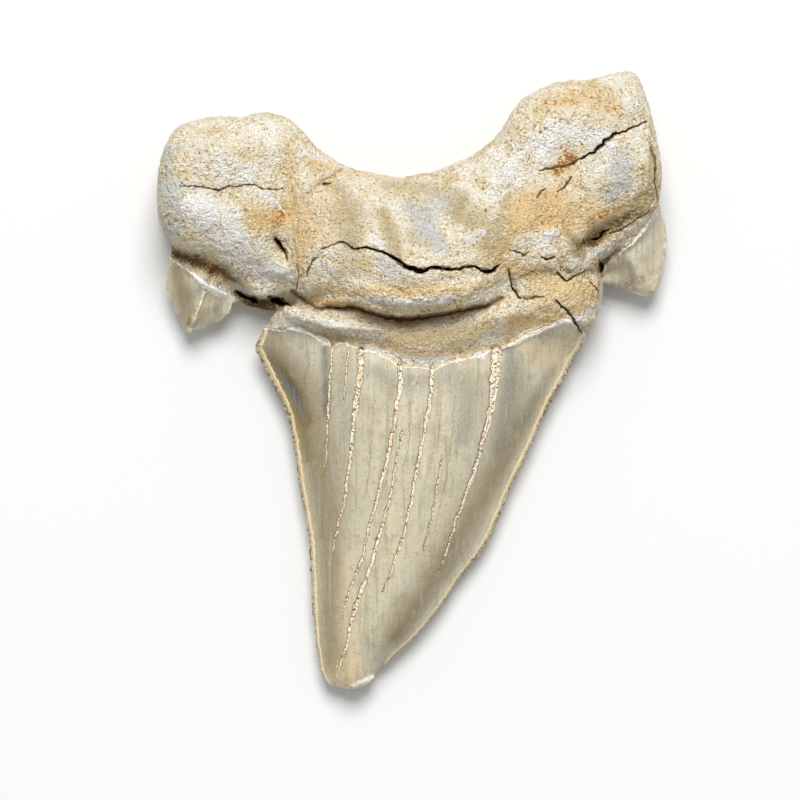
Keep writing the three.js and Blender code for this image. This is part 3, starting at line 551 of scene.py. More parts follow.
class ToothStudioSettings(bpy.types.PropertyGroup):
    view_width: length_property("View width", 96, "Width of the picture at the height of the tooth's middle")
    lens: FloatProperty(name="Lens", description="Focal length of the camera in millimetres", default=300)
    key_power: FloatProperty(name="Key power", description="Power of the soft box in watts", default=22)
    key_size: length_property("Key size", 800, "Diameter of the soft box")
    key_place: FloatVectorProperty(
        name="Key place", description="Middle of the soft box", default=(0.03, 0.80, 1.26), unit="LENGTH"
    )
    air: FloatProperty(name="Air", description="Strength of the light from all round", default=0.46)
    floor: colour_property("Floor", "#e6e6e6", "Floor of the studio")
    floor_reach: length_property("Floor reach", 3000, "How far the floor goes to each side")


# Measures on the surface, for arrays of points in millimetres.


def wander(points):
    """The small sideways wander that keeps every crack from running straight, in millimetres."""
    moves = []
    for x, y in points[:, :2]:
        wide = noise.noise_vector(Vector((x, y, 0.0)) / 1.1) * 0.17
        moves.append((wide + noise.noise_vector(Vector((x, y, 5.0)) / 0.42) * 0.11)[:2])
    return np.array(moves)


def line_measure(points, line):
    """Signed distance to a line and the line's width there; past its ends the width falls below zero.

    The distance is positive to the left of the way that the line runs.
    """
    stations = np.array(line, dtype=float)
    start, end = stations[:-1, :2], stations[1:, :2]
    run = end - start
    length_squared = (run**2).sum(axis=1)
    offset = points[:, None, :2] - start[None]
    raw = (offset * run).sum(axis=2) / length_squared
    share = np.clip(raw, 0, 1)
    gap = np.linalg.norm(offset - share[..., None] * run, axis=2)
    nearest = gap.argmin(axis=1)
    rows = np.arange(len(points))
    cross = run[nearest, 0] * offset[rows, nearest, 1] - run[nearest, 1] * offset[rows, nearest, 0]
    signed = gap[rows, nearest] * np.sign(cross)
    if stations.shape[1] < 3:
        return signed, np.zeros(len(points))
    at = share[rows, nearest]
    width = stations[nearest, 2] * (1 - at) + stations[nearest + 1, 2] * at
    past = np.abs(raw[rows, nearest] - at) * np.sqrt(length_squared[nearest])
    return signed, width - 2 * past


def nearest_crack(points, lines):
    """Signed distance to the crack that lies nearest, its width, and which bank a point lies on.

    The bank is +1 to the left of the way that the crack runs, which is towards +X on the crown, and -1 to
    the right.
    Every second crack is counted the other way round. So the distance keeps its sign from one crack to
    the next, and between two points of the mesh it passes through zero only where a crack runs.
    """
    best = np.full(len(points), 1e3)
    distance = np.full(len(points), 1e3)
    width = np.full(len(points), -1.0)
    bank = np.zeros(len(points))
    for number, line in enumerate(lines):
        gap, wide = line_measure(points, line)
        reach = np.abs(gap) - wide / 2
        closer = reach < best
        best[closer] = reach[closer]
        distance[closer] = gap[closer] * (1 if number % 2 else -1)
        width[closer] = wide[closer]
        bank[closer] = np.clip(gap[closer] / 0.4, -1, 1)
    return distance, width, bank


def height_of_line(line, x):
    """The Y of a line that runs from left to right, above each X."""
    stations = np.array(line)
    return np.interp(x, stations[:, 0], stations[:, 1])


def enamel_measure(points, facing_down):
    """Distance from the enamel's end: positive on enamel, negative on the root and neck."""
    x, y = points[:, 0], points[:, 1]
    # These are the side cusps, whose enamel has ends of its own.
    left = (x < -20.3) & (y < 18)
    right = (x > 22.3) & (y > 9.5)
    line_y = height_of_line(CROWN_ENAMEL_LINE, x)
    gap = np.abs(line_measure(points, CROWN_ENAMEL_LINE)[0])
    for chosen, line in ((left, LEFT_CUSP_ENAMEL_LINE), (right, RIGHT_CUSP_ENAMEL_LINE)):
        line_y = np.where(chosen, height_of_line(line, x), line_y)
        gap = np.where(chosen, np.abs(line_measure(points, line)[0]), gap)
    signed = np.where(y < line_y, gap, -gap)
    return np.where(facing_down, np.maximum(signed, line_y + UNDER_ENAMEL - y), signed)


def smooth_between(low, high, values):
    share = np.clip((values - low) / (high - low), 0, 1)
    return share * share * (3 - 2 * share)


def bell(distance, width):
    return np.exp(-((2 * distance / width) ** 2))


def widest(line):
    return max(station[2] for station in line)


def stain_strength(points, kind):
    """How strongly a kind of stain lies at each point, from 0 to 1."""
    total = np.zeros(len(points))
    for strength, line in STAINS[kind]:
        gap, width = line_measure(points, line)
        total += strength * bell(gap, np.maximum(width, widest(line) * 0.55))
    return np.clip(total, 0, 1)


# The tooth's surface.


def surface_arrays(bm):
    bm.verts.ensure_lookup_table()
    bm.verts.index_update()
    bm.normal_update()
    points = np.array([v.co[:] for v in bm.verts])
    normals = np.array([v.normal[:] for v in bm.verts])
    return points, normals


def place_points(bm, points):
    for vert, place in zip(bm.verts, points):
        vert.co = place


def mesh_of(bm, name, materials=()):
    """A mesh with the given materials that takes over what the bmesh holds."""
    mesh = bpy.data.meshes.new(name)
    bm.to_mesh(mesh)
    bm.free()
    for material in materials:
        mesh.materials.append(material)
    return mesh


def linked_object(name, mesh):
    carrier = bpy.data.objects.new(name, mesh)
    bpy.context.collection.objects.link(carrier)
    return carrier


def remove_with_mesh(carrier):
    mesh = carrier.data
    bpy.data.objects.remove(carrier)
    bpy.data.meshes.remove(mesh)


def applied(carrier):
    """A new mesh that holds what the carrier's modifiers make of it; the carrier is taken away."""
    bpy.context.view_layer.update()
    graph = bpy.context.evaluated_depsgraph_get()
    mesh = bpy.data.meshes.new_from_object(carrier.evaluated_get(graph))
    remove_with_mesh(carrier)
    return mesh


def solid_in_millimetres():
    bm = bmesh.new()
    bm.from_mesh(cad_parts[NODE].data)
    bmesh.ops.remove_doubles(bm, verts=bm.verts[:], dist=1e-6)
    bmesh.ops.scale(bm, vec=(1 / MM,) * 3, verts=bm.verts[:])
    bm.normal_update()
    return bm


def even_surface(solid, spacing):
    """The solid's shape as one even skin of small faces; the solid is freed."""
    carrier = linked_object("tooth_rough", mesh_of(solid, "tooth_rough"))
    skin = carrier.modifiers.new("even", "REMESH")
    skin.mode = "VOXEL"
    skin.voxel_size = spacing
    even = applied(carrier)
    bm = bmesh.new()
    bm.from_mesh(even)
    bpy.data.meshes.remove(even)
    return bm


def is_cutting_edge(edge, bend):
    """Whether an edge lies on the cutting edge of the crown or of a side cusp.

    Those edges lie between 0.7 and 6.6 mm up. Sharp creases further back belong to the root.
    """
    if not edge.is_manifold or edge.calc_face_angle() < bend:
        return False
    middle = (edge.verts[0].co + edge.verts[1].co) / 2
    on_root = abs(middle.x) < 20.5 and middle.y > 8.4
    return 0.7 < middle.z < 6.6 and middle.y < 17.5 and not on_root


def tree_of(places):
    tree = kdtree.KDTree(len(places))
    for number, place in enumerate(places):
        tree.insert(place, number)
    tree.balance()
    return tree


def cutting_edge_tree(solid):
    """The true cutting edges, as a search tree of close points."""
    places = []
    for edge in solid.edges:
        if is_cutting_edge(edge, 0.75):
            a, b = edge.verts[0].co, edge.verts[1].co
            steps = max(1, round(edge.calc_length() / MESH_STEP))
            places += [a.lerp(b, step / steps) for step in range(steps)]
    return tree_of(places)


def smooth_form(bm, rounds=45):
    """Takes the facets out of the form without shrinking it; points on a cutting edge slide along it."""
    points, _ = surface_arrays(bm)
    sharp = np.zeros(len(points), dtype=bool)
    for edge in bm.edges:
        if is_cutting_edge(edge, 0.7):
            sharp[[v.index for v in edge.verts]] = True
    pairs = np.array([[v.index for v in edge.verts] for edge in bm.edges])
    pairs = np.concatenate((pairs, pairs[:, ::-1]))
    pairs = pairs[~sharp[pairs[:, 0]] | sharp[pairs[:, 1]]]
    count = np.maximum(np.bincount(pairs[:, 0], minlength=len(points)), 1)[:, None]
    for factor in (0.5, -0.52) * rounds:
        total = [np.bincount(pairs[:, 0], points[pairs[:, 1], axis], len(points)) for axis in range(3)]
        points += factor * (np.array(total).T / count - points) * (count > 1)
    place_points(bm, points)
    return points[sharp]


def meet_cutting_edges(bm, skin_edge, tree, reach=1.4):
    """Draws the skin out to the true cutting edges, which the even skin had rounded off."""
    skin_tree = tree_of(skin_edge)
    pulls = np.array([Vector(tree.find(place)[0]) - Vector(place) for place in skin_edge])
    pulls[np.linalg.norm(pulls, axis=1) > LONGEST_PULL] = 0
    points, _ = surface_arrays(bm)
    for number, point in enumerate(points):
        found = skin_tree.find_n(point, 6)
        if found[0][2] > reach * 1.5:
            continue
        weights = np.array([1 / (0.05 + gap) for _, _, gap in found])
        pull = (pulls[[index for _, index, _ in found]] * weights[:, None]).sum(axis=0) / weights.sum()
        points[number] += pull * math.exp(-((found[0][2] / (reach / 2)) ** 2))
    place_points(bm, points)


def refine(bm, wanted):
    """Halves the edges whose two points are both wanted."""
    kept = {v for v, want in zip(bm.verts, wanted) if want}
    edges = [e for e in bm.edges if e.verts[0] in kept and e.verts[1] in kept]
    bmesh.ops.subdivide_edges(bm, edges=edges, cuts=1, use_grid_fill=True, smooth=0)


def lighten_underside(bm):
    """Joins the small flat faces under the tooth, where no fine shape is worked in."""
    bm.normal_update()
    faces = [f for f in bm.faces if f.normal.z < -0.75 and all(v.normal.z < -0.6 for v in f.verts)]
    verts = list({v for f in faces for v in f.verts})
    edges = list({e for f in faces for e in f.edges})
    bmesh.ops.dissolve_limit(bm, angle_limit=math.radians(2.5), verts=verts, edges=edges)
    bmesh.ops.triangulate(bm, faces=[f for f in bm.faces if len(f.verts) > 4])


def edge_distance(points, tree):
    return np.array([tree.find(point)[2] for point in points])


def refine_for_detail(bm, tree):
    """Small faces on the root's upper side, and still smaller ones along cracks, seams and edges."""
    narrow_forms = [line for _, line in RIDGES_AND_GROOVES if line[0][2] < 0.7]
    for reach in REACHES:
        points, normals = surface_arrays(bm)
        up = normals[:, 2] > -0.1
        flat = points[:, :2] + wander(points)
        enamel = enamel_measure(flat, normals[:, 2] < -0.3)
        wanted = (np.abs(enamel) < reach * 0.9) & up
        for lines, extra in ((FILLED_CRACKS, 0.0), (OPEN_FISSURES, 0.1), (HAIRLINES, 0.0)):
            gap, width, _ = nearest_crack(flat, lines)
            wanted |= (np.abs(gap) - width / 2 < reach * 0.7 + extra) & (width > -0.4) & up
        for line in [LIP_SEAM] + narrow_forms:
            gap, width = line_measure(flat, line)
            wanted |= (np.abs(gap) < reach * 0.8) & (width > -0.4) & up
        wanted |= (edge_distance(points, tree) < reach * 0.8) & (normals[:, 2] > -0.6)
        if reach == REACHES[0]:
            wanted |= (enamel < 0.3) & (normals[:, 2] > -0.3)
        refine(bm, wanted)


class Skin:
    """The points of the surface, what is measured at each, and how far each is moved, in millimetres."""

    def __init__(self, bm, tree):
        self.points, self.normals = surface_arrays(bm)
        self.facing_down = self.normals[:, 2] < -0.3
        self.up = smooth_between(-0.35, 0.0, self.normals[:, 2])
        self.flat = self.points[:, :2] + wander(self.points)
        self.enamel = enamel_measure(self.flat, self.facing_down)
        self.crumb = np.array([noise.noise(Vector(p) / 0.24) for p in self.points])
        self.edge = edge_distance(self.points, tree)
        self.on_enamel = smooth_between(-0.10, 0.10, self.enamel + 0.14 * self.crumb)
        self.on_crown = self.up * smooth_between(0.0, 0.8, self.enamel)
        self.grain = np.zeros(len(self.points))
        self.move = np.zeros(len(self.points))
        self.lift = np.zeros(len(self.points))


def root_relief(place):
    """Heights of the bare root's lumps and of its grains at a place."""
    lump = noise.fractal(place / 3.2, 0.9, 2.1, 3)
    gaps = noise.voronoi(place / 0.90 + Vector((0.3, 0.1, 0.7)) * lump)[0]
    pebble = min((gaps[1] - gaps[0]) * 1.6, 1.0)
    fine = noise.noise(place / 0.52) + 0.7 * noise.noise(place / 0.27)
    return lump, 0.45 * pebble - 0.3 + 0.9 * fine


def work_grain(skin, settings):
    """Lumps and grains on the root, calmer on the neck and on steep sides, and faint waves on the enamel."""
    for i, point in enumerate(skin.points):
        place = Vector(point)
        share = skin.on_enamel[i]
        if share < 1:
            on_neck = skin.enamel[i] > -3.2 and point[1] < 8.0 and abs(point[0]) < 19
            calm = 0.6 if on_neck else 1.0
            lump, grains = root_relief(place)
            skin.grain[i] = (1 - share) * grains * calm
            skin.move[i] += (1 - share) * settings.swell / MM * lump * calm
        if share > 0:
            ripple = noise.noise(Vector((point[0] / 1.3, point[1] / 9.0, point[2] / 3.0)))
            skin.move[i] += share * (0.03 * ripple + 0.05 * noise.noise(place / 4.5))
    level = 0.35 + 0.65 * smooth_between(0.0, 0.6, skin.normals[:, 2])
    skin.move += skin.grain * level * settings.grain / MM


def work_enamel_end(skin, settings):
    """The enamel stands above the neck, with a thin curled lip along its end."""
    beside = smooth_between(-3.0, -1.0, skin.enamel)
    skin.move += settings.enamel_step / MM * (skin.on_enamel - 1) * skin.up * beside
    skin.move += 0.12 * bell(skin.enamel - 0.16, 0.34) * (0.5 + skin.crumb) * skin.up


def work_rim(skin, settings):
    """Inside a cutting edge runs a rim, and a shallow valley follows it."""
    skin.move += settings.rim_rise / MM * bell(skin.edge - 0.55, 0.9) * skin.on_crown
    skin.move -= 0.22 * bell(skin.edge - 1.9, 2.0) * skin.on_crown


def work_ridges(skin):
    """Low ridges and grooves, which run out softly at their ends."""
    for rise, line in RIDGES_AND_GROOVES:
        gap, width = line_measure(skin.flat, line)
        most = widest(line)
        ends = smooth_between(-most, 0.0, width)
        skin.move += rise * bell(gap, np.maximum(width, most * 0.4)) * ends * skin.up


def work_filled_cracks(skin):
    """A shallow trough with crumbs in it; on the +X side of the last crack the enamel has sunk a little."""
    gap, width, _ = nearest_crack(skin.flat, FILLED_CRACKS)
    half = np.maximum(width, 0.0) / 2
    inside = smooth_between(-0.08, 0.05, half - np.abs(gap)) * (width > 0) * skin.up
    skin.move -= inside * (0.10 + 0.22 * half) - inside * 0.20 * skin.crumb
    gap, width = line_measure(skin.flat, FILLED_CRACKS[-1])
    fallen = smooth_between(0.0, 0.5, gap) * np.exp(-np.maximum(gap, 0) / 3.2)
    skin.move -= 0.30 * fallen * smooth_between(-3.0, 0.0, width) * skin.on_crown


def work_lip(skin, settings):
    """The root's lip stands out over a sunken seam, and the neck in front of it is fuller than the solid."""
    gap, width = line_measure(skin.flat, LIP_SEAM)
    in_seam = smooth_between(-0.30, 0.10, np.maximum(width, 0.0) / 2 - np.abs(gap)) * (width > 0) * skin.up
    skin.move -= 0.50 * in_seam
    x = skin.points[:, 0]
    lip = smooth_between(-0.05, 0.7, gap) * (1 - smooth_between(0.5, 4.0, gap))
    along = smooth_between(-14.0, -4.5, x) * (1 - smooth_between(5.5, 11.5, x))
    skin.lift += settings.lip / MM * lip * along * skin.up
    neck = smooth_between(0.15, 1.8, -gap) * smooth_between(0.0, 2.4, -skin.enamel)
    along = smooth_between(-15.5, -10.0, x) * (1 - smooth_between(9.0, 15.0, x))
    skin.lift += settings.neck_fill / MM * neck * along * skin.up


def work_open_cracks(skin):
    """Hairlines sink in, and the banks of the fissures are worn down."""
    gap, width, _ = nearest_crack(skin.flat, HAIRLINES)
    shallow = np.where(skin.enamel > 0, 0.3, 1)
    skin.move -= 0.12 * bell(gap, 0.28) * smooth_between(-0.3, 0.06, width) * skin.up * shallow
    gap, width, _ = nearest_crack(skin.flat, OPEN_FISSURES)
    off_bank = np.maximum(np.abs(gap) - width / 2, 0)
    skin.move -= 0.10 * bell(off_bank, 0.6) * smooth_between(-0.3, 0.1, width) * skin.up


def work_nicks(skin, settings):
    """Small nicks and a few larger notches wear the cutting edges."""
    nick = np.array([noise.noise(Vector(p) / 0.6) for p in skin.points])
    notch = np.array([max(0.0, 1 - noise.voronoi(Vector(p) / 1.5)[0][0] / 0.40) for p in skin.points])
    near_edge = bell(skin.edge, 0.9) * (skin.enamel > -0.4)
    skin.move -= near_edge * settings.chip / MM * (0.25 + 0.9 * nick + 0.8 * notch)


def shape_surface(bm, tree, settings):
    """Works the fine forms into the surface; gives its points and the height of the grains at each."""
    skin = Skin(bm, tree)
    work_grain(skin, settings)
    work_enamel_end(skin, settings)
    work_rim(skin, settings)
    work_ridges(skin)
    work_filled_cracks(skin)
    work_lip(skin, settings)
    work_open_cracks(skin)
    work_nicks(skin, settings)
    resting = (skin.points[:, 2] < 0.02) & skin.facing_down
    skin.move[resting] = 0
    shaped = skin.points + skin.normals * skin.move[:, None]
    shaped[:, 2] += skin.lift
    shaped[:, 2] = np.maximum(shaped[:, 2], 0.0)
    place_points(bm, shaped)
    return shaped, skin.grain


def close_stations(line):
    """A fissure's stations with further ones between them, drawn aside as the surface's cracks are."""
    stations = []
    for ahead, back in zip(line[1:], line[:-1]):
        steps = max(1, round(math.hypot(ahead[0] - back[0], ahead[1] - back[1]) / WEDGE_STEP))
        for step in range(steps):
            stations.append([b + (a - b) * step / steps for a, b in zip(ahead, back)])
    stations.append(list(line[-1]))
    places = np.array(stations)
    places[:, :2] -= wander(places)
    return places


def add_wedge(bm, line, surface):
    """Sweeps a wedge along one fissure: a four-sided face is extruded from station to station."""
    places = close_stations(line)
    face = None
    for number, (x, y, width, depth) in enumerate(places):
        back = places[max(number - 1, 0)]
        ahead = places[min(number + 1, len(places) - 1)]
        run = Vector((ahead[0] - back[0], ahead[1] - back[1], 0)).normalized()
        across = Vector((-run.y, run.x, 0))
        left = width / 2 * (1 + 1.1 * noise.noise(Vector((x, y, 7.7)) / 0.5))
        right = width / 2 * (1 + 1.1 * noise.noise(Vector((x, y, 11.3)) / 0.5))
        middle = Vector((x, y, 0))
        hit = surface.ray_cast(Vector((x, y, 40)), Vector((0, 0, -1)))[0]
        top = hit.z if hit else 8.0
        corners = [
            middle + across * left + Vector((0, 0, top + OVER_TOP)),
            middle - across * right + Vector((0, 0, top + OVER_TOP)),
            middle - across * right * 0.5 + Vector((0, 0, top - depth)),
            middle + across * left * 0.5 + Vector((0, 0, top - depth)),
        ]
        if face is None:
            face = bm.faces.new([bm.verts.new(corner) for corner in corners])
            continue
        grown = bmesh.ops.extrude_face_region(bm, geom=[face])["geom"]
        if number > 1:
            bmesh.ops.delete(bm, geom=[face], context="FACES_ONLY")
        face = next(item for item in grown if isinstance(item, bmesh.types.BMFace))
        for vert, corner in zip(face.verts, corners):
            vert.co = corner


def cut_fissures(bm, materials):
    """Cuts the fissures and hollows out of the surface; their walls get the second material."""
    surface = BVHTree.FromBMesh(bm)
    carrier = linked_object("tooth_uncut", mesh_of(bm, "tooth_uncut", materials))
    wedges = []
    for number, line in enumerate(OPEN_FISSURES + HOLLOWS):
        wedge = bmesh.new()
        add_wedge(wedge, line, surface)
        bmesh.ops.recalc_face_normals(wedge, faces=wedge.faces[:])
        bmesh.ops.triangulate(wedge, faces=wedge.faces[:])
        mesh = mesh_of(wedge, f"fissure_{number}", materials)
        mesh.polygons.foreach_set("material_index", [1] * len(mesh.polygons))
        cutter = linked_object(f"fissure_{number}", mesh)
        wedges.append(cutter)
        cut = carrier.modifiers.new(f"fissure_{number}", "BOOLEAN")
        cut.operation = "DIFFERENCE"
        cut.solver = "MANIFOLD"
        cut.object = cutter
    mesh = applied(carrier)
    for cutter in wedges:
        remove_with_mesh(cutter)
    return mesh


def vertex_array(mesh, name):
    values = np.empty(len(mesh.vertices) * 3)
    mesh.vertices.foreach_get(name, values)
    return values.reshape(-1, 3)


def write_measures(mesh, tree, shaped, grain):
    """Stores what the material reads at each point: distances, widths and stains."""
    points = vertex_array(mesh, "co")
    upward = vertex_array(mesh, "normal")[:, 2]
    flat = points[:, :2] + wander(points)
    facing_down = upward < -0.3
    shaped_tree = tree_of(shaped)
    nearest = [shaped_tree.find(point)[1] for point in points]
    crack, crack_width, bank = nearest_crack(flat, FILLED_CRACKS)
    seam, seam_width = line_measure(flat, LIP_SEAM)
    fissure, fissure_width, _ = nearest_crack(flat, OPEN_FISSURES + HOLLOWS)
    hairline, hairline_width, _ = nearest_crack(flat, HAIRLINES)
    beside_crown = np.abs(points[:, 0]) > CUSP_SIDE
    measures = {
        "enamel": enamel_measure(flat, facing_down),
        "crack": crack,
        "crack_width": np.where(facing_down, -1, crack_width),
        "crack_bank": bank,
        "seam": seam,
        "seam_width": np.where(facing_down, -1, seam_width),
        "fissure": np.abs(fissure) - np.maximum(fissure_width, 0) / 2 + (fissure_width < -0.3),
        "hairline": hairline,
        "hairline_width": np.where(facing_down, -1, hairline_width),
        "rim": np.where(beside_crown, 9.0, edge_distance(points, tree)),
        "grain": grain[nearest],
        "slope": upward,
    }
    for kind in STAINS:
        measures[kind] = stain_strength(flat, kind) * smooth_between(-0.1, 0.45, upward)
    for name, values in measures.items():
        attribute = mesh.attributes.new(name, "FLOAT", "POINT")
        attribute.data.foreach_set("value", values.astype(np.float32))


# Materials.


def add_node(tree, kind, inputs=(), output=0, **settings):
    """Adds one node and gives one of its outputs. Inputs go by place or by name: values or other outputs."""
    node = tree.nodes.new("ShaderNode" + kind)
    for name, value in settings.items():
        setattr(node, name, value)
    for key, value in inputs.items() if isinstance(inputs, dict) else enumerate(inputs):
        if isinstance(value, bpy.types.NodeSocket):
            tree.links.new(value, node.inputs[key])
        else:
            node.inputs[key].default_value = value
    return node.outputs[output] if node.outputs else None


def new_material(name):
    """A material without nodes, and its node tree."""
    material = bpy.data.materials.new(name)
    material.use_nodes = True
    material.node_tree.nodes.clear()
    return material, material.node_tree


def place_on_tooth(tree):
    """The place on the object, in millimetres."""
    place = add_node(tree, "TexCoord", output="Object")
    return add_node(tree, "VectorMath", {0: place, "Scale": 1 / MM}, operation="SCALE")


def stored(tree, name):
    """What the mesh stores at each point under a name."""
    return add_node(tree, "Attribute", output="Fac", attribute_name=name)


def finish_material(tree, sockets):
    add_node(tree, "OutputMaterial", (add_node(tree, "BsdfPrincipled", sockets),))


def sum_up(tree, *terms, start=0.0):
    """The sum of some patterns, each times its weight."""
    total = start
    for pattern, weight in terms:
        total = add_node(tree, "Math", (pattern, weight, total), operation="MULTIPLY_ADD")
    return total


def distance_from(tree, pattern, value):
    """How far a pattern is from a value, to either side."""
    return add_node(tree, "Math", (sum_up(tree, (pattern, 1.0), start=-value),), operation="ABSOLUTE")


def lay_over(tree, colour, *coats):
    """Lays coats over a colour: (colour, pattern, where it begins, where it is full, strength, masks)."""
    for coat, pattern, begins, full, strength, *masks in coats:
        limits = (pattern, begins, full, 0.0, strength)
        share = add_node(tree, "MapRange", limits, interpolation_type="SMOOTHSTEP")
        for mask in masks:
            share = add_node(tree, "Math", (share, mask), operation="MULTIPLY")
        under, over = (c if isinstance(c, bpy.types.NodeSocket) else (*c, 1.0) for c in (colour, coat))
        colour = add_node(tree, "Mix", {0: share, 6: under, 7: over}, output=2, data_type="RGBA")
    return colour


def lay_stain(tree, colour, coat, measure, uneven, begins, full, strength, edge=0.30):
    """Lays a stain over a colour where its measure says; what makes it uneven also breaks up its edge."""
    amount = sum_up(tree, (measure, 1.0), start=uneven)
    there = add_node(tree, "MapRange", (measure, 0.02, edge))
    return lay_over(tree, colour, (coat, amount, begins, full, strength, there))


def inside_line(tree, maps, name, share, raggedness):
    """How far a place lies inside the ragged banks of a line, in millimetres."""
    off = add_node(tree, "Math", (maps[name],), operation="ABSOLUTE")
    ragged = (maps["crumble"], -raggedness)
    return sum_up(tree, (maps[name + "_width"], share), (off, -1.0), ragged, start=raggedness / 2)


# The functions below pass on maps: the stored measures and the patterns of the fossil, by name.


def fossil_patterns(tree, place):
    """The noises of the fossil, the fine lines along its enamel and the gaps between the root's grains."""
    patterns = {}
    for name, (size, detail, roughness) in NOISES.items():
        inputs = {"Vector": place, "Scale": 1 / size, "Detail": detail, "Roughness": roughness}
        patterns[name] = add_node(tree, "TexNoise", {**inputs, "Distortion": 0.3})
    lean = (0, 0, math.radians(-8))
    along = add_node(tree, "Mapping", {"Vector": place, "Rotation": lean, "Scale": (1.0, 0.035, 0.3)})
    inputs = {"Vector": along, "Scale": 1 / 0.42, "Detail": 3.0, "Roughness": 0.55}
    patterns["streaks"] = add_node(tree, "TexNoise", inputs)
    swirl = add_node(tree, "TexNoise", {"Vector": place, "Scale": 1 / 0.8, "Detail": 3.0}, output="Color")
    warped = add_node(tree, "VectorMath", (swirl, (0.9, 0.9, 0.9), place), operation="MULTIPLY_ADD")
    inputs = {"Vector": warped, "Scale": 1 / 0.58}
    pebbles = add_node(tree, "TexVoronoi", inputs, output="Distance", feature="DISTANCE_TO_EDGE")
    patterns["gaps"] = add_node(tree, "MapRange", (pebbles, 0.17, 0.02))
    return patterns


def root_colour(tree, colours, maps):
    """Porous bone: cream grains with thin brown soil between them, tan and chalky patches and iron stain.
    Steep faces get an amber coat, partly soil and partly painted shade where they turn from the light.
    """
    colour = lay_over(
        tree,
        colours.cream,
        (colours.tan, maps["mottle"], 0.50, 0.37, 0.8),
        (colours.ochre, maps["crumble"], 0.52, 0.64, 0.35),
        (colours.pale, maps["mottle"], 0.53, 0.66, 0.65),
    )
    uneven = sum_up(tree, (maps["mottle"], 1.4), (maps["speckle"], 0.7), start=-1.05)
    for kind, coat, strength in (
        ("drab", colours.drab, 0.9),
        ("ochre", colours.ochre, 0.85),
        ("rust", colours.sienna, 0.7),
        ("grey", colours.grey, 0.9),
    ):
        colour = lay_stain(tree, colour, coat, maps[kind], uneven, 0.05, 0.95, strength)
    low_places = ((maps["gaps"], 0.22), (maps["speckle"], -3.4), (maps["grain"], -0.28))
    depth = sum_up(tree, *low_places, (maps["mottle"], -1.6), start=2.5)
    rusty = sum_up(tree, (depth, 0.9), (maps["rust"], 1.05), (maps["mottle"], 2.6), start=-1.85)
    # Partly painted shade: amber is laid more strongly the further a face turns from upward.
    steep = add_node(tree, "MapRange", (maps["slope"], 0.62, 0.15, 0.0, 0.9))
    return lay_over(
        tree,
        colour,
        (colours.pale, depth, -0.12, -0.60, 0.7),
        (colours.ochre, depth, 0.12, 0.42, 0.35),
        (colours.amber, depth, 0.34, 0.74, 0.5),
        (colours.umber, depth, 0.66, 1.05, 0.65),
        (colours.amber, rusty, 0.15, 0.60, 0.6),
        (colours.rust, rusty, 0.36, 0.78, 0.95),
        (colours.amber, depth, -0.10, 0.60, 0.35, steep),
    )


def enamel_colour(tree, colours, maps):
    """Enamel: nearly even, blue-grey and olive at its flanks, warm near the tip, faintly lined along it."""
    colour = colours.enamel
    for kind, coat, evenness, strength in (
        ("warm", colours.warm, 0.9, 0.8),
        ("olive", colours.olive, 0.5, 0.95),
        ("steel", colours.steel, 0.35, 0.95),
    ):
        uneven = sum_up(tree, (maps["haze"], evenness), (maps["streaks"], evenness), start=-evenness)
        colour = lay_stain(tree, colour, coat, maps[kind], uneven, 0.0, 1.0, strength, edge=0.20)
    return lay_over(
        tree,
        colour,
        (colours.olive, maps["haze"], 0.52, 0.36, 0.22),
        (colours.olive, maps["streaks"], 0.46, 0.34, 0.28),
        (colours.pale, maps["streaks"], 0.54, 0.70, 0.18),
        (colours.pale, maps["dust"], 0.60, 0.72, 0.25),
        (colours.olive, maps["dust"], 0.44, 0.34, 0.40),
    )


def with_worn_edge(tree, enamel, colours, maps):
    """A cream line runs inside each cutting edge; outside it the enamel is worn and soiled."""
    rim = sum_up(tree, (maps["rim"], 1.0), (maps["crumble"], 0.5), start=-0.25)
    off_line = distance_from(tree, rim, 0.86)
    soiled = add_node(tree, "MapRange", (rim, 0.68, 0.35))
    return lay_over(
        tree,
        enamel,
        (colours.rim, rim, 1.05, 0.60, 0.65),
        (colours.ochre, off_line, 0.24, 0.08, 0.6),
        (colours.pale, off_line, 0.09, 0.01, 0.55),
        (colours.olive, maps["speckle"], 0.58, 0.46, 0.8, soiled),
        (colours.umber, maps["speckle"], 0.48, 0.41, 0.85, soiled),
    )


def with_enamel(tree, root, enamel, colours, maps):
    """The enamel ends in a line of pale and golden crumbs, with soil in front of it."""
    line = sum_up(tree, (maps["enamel"], 1.0), (maps["crumble"], 0.5), start=-0.25)
    off_line = distance_from(tree, line, 0.08)
    in_front = distance_from(tree, line, -0.18)
    at_line = add_node(tree, "MapRange", (off_line, 0.20, 0.08))
    patchy = add_node(tree, "MapRange", (maps["mottle"], 0.55, 0.45))
    return lay_over(
        tree,
        root,
        (enamel, line, -0.04, 0.04, 1.0),
        (colours.pale, off_line, 0.17, 0.05, 0.85),
        (colours.ochre, maps["speckle"], 0.50, 0.42, 0.8, at_line),
        (colours.amber, in_front, 0.15, 0.03, 0.4, patchy),
    )


def with_soil_chalk_painted_light_and_shade(tree, colour, colours, maps):
    """Soil in the hollows and chalk on the worn crests, on root and enamel alike, laid along the stain
    lines. Some of the umber is painted shade and some of the pale is painted light, as marked in the stain
    table.
    """
    uneven = sum_up(tree, (maps["mottle"], 1.5), (maps["speckle"], 2.2), start=-1.85)
    # Umber here is partly painted shade, and pale below is partly painted light.
    colour = lay_stain(tree, colour, colours.amber, maps["umber"], uneven, 0.1, 0.85, 0.95)
    colour = lay_stain(tree, colour, colours.umber, maps["umber"], uneven, 0.1, 1.2, 0.95)
    return lay_stain(tree, colour, colours.pale, maps["pale"], uneven, 0.1, 0.85, 0.95)


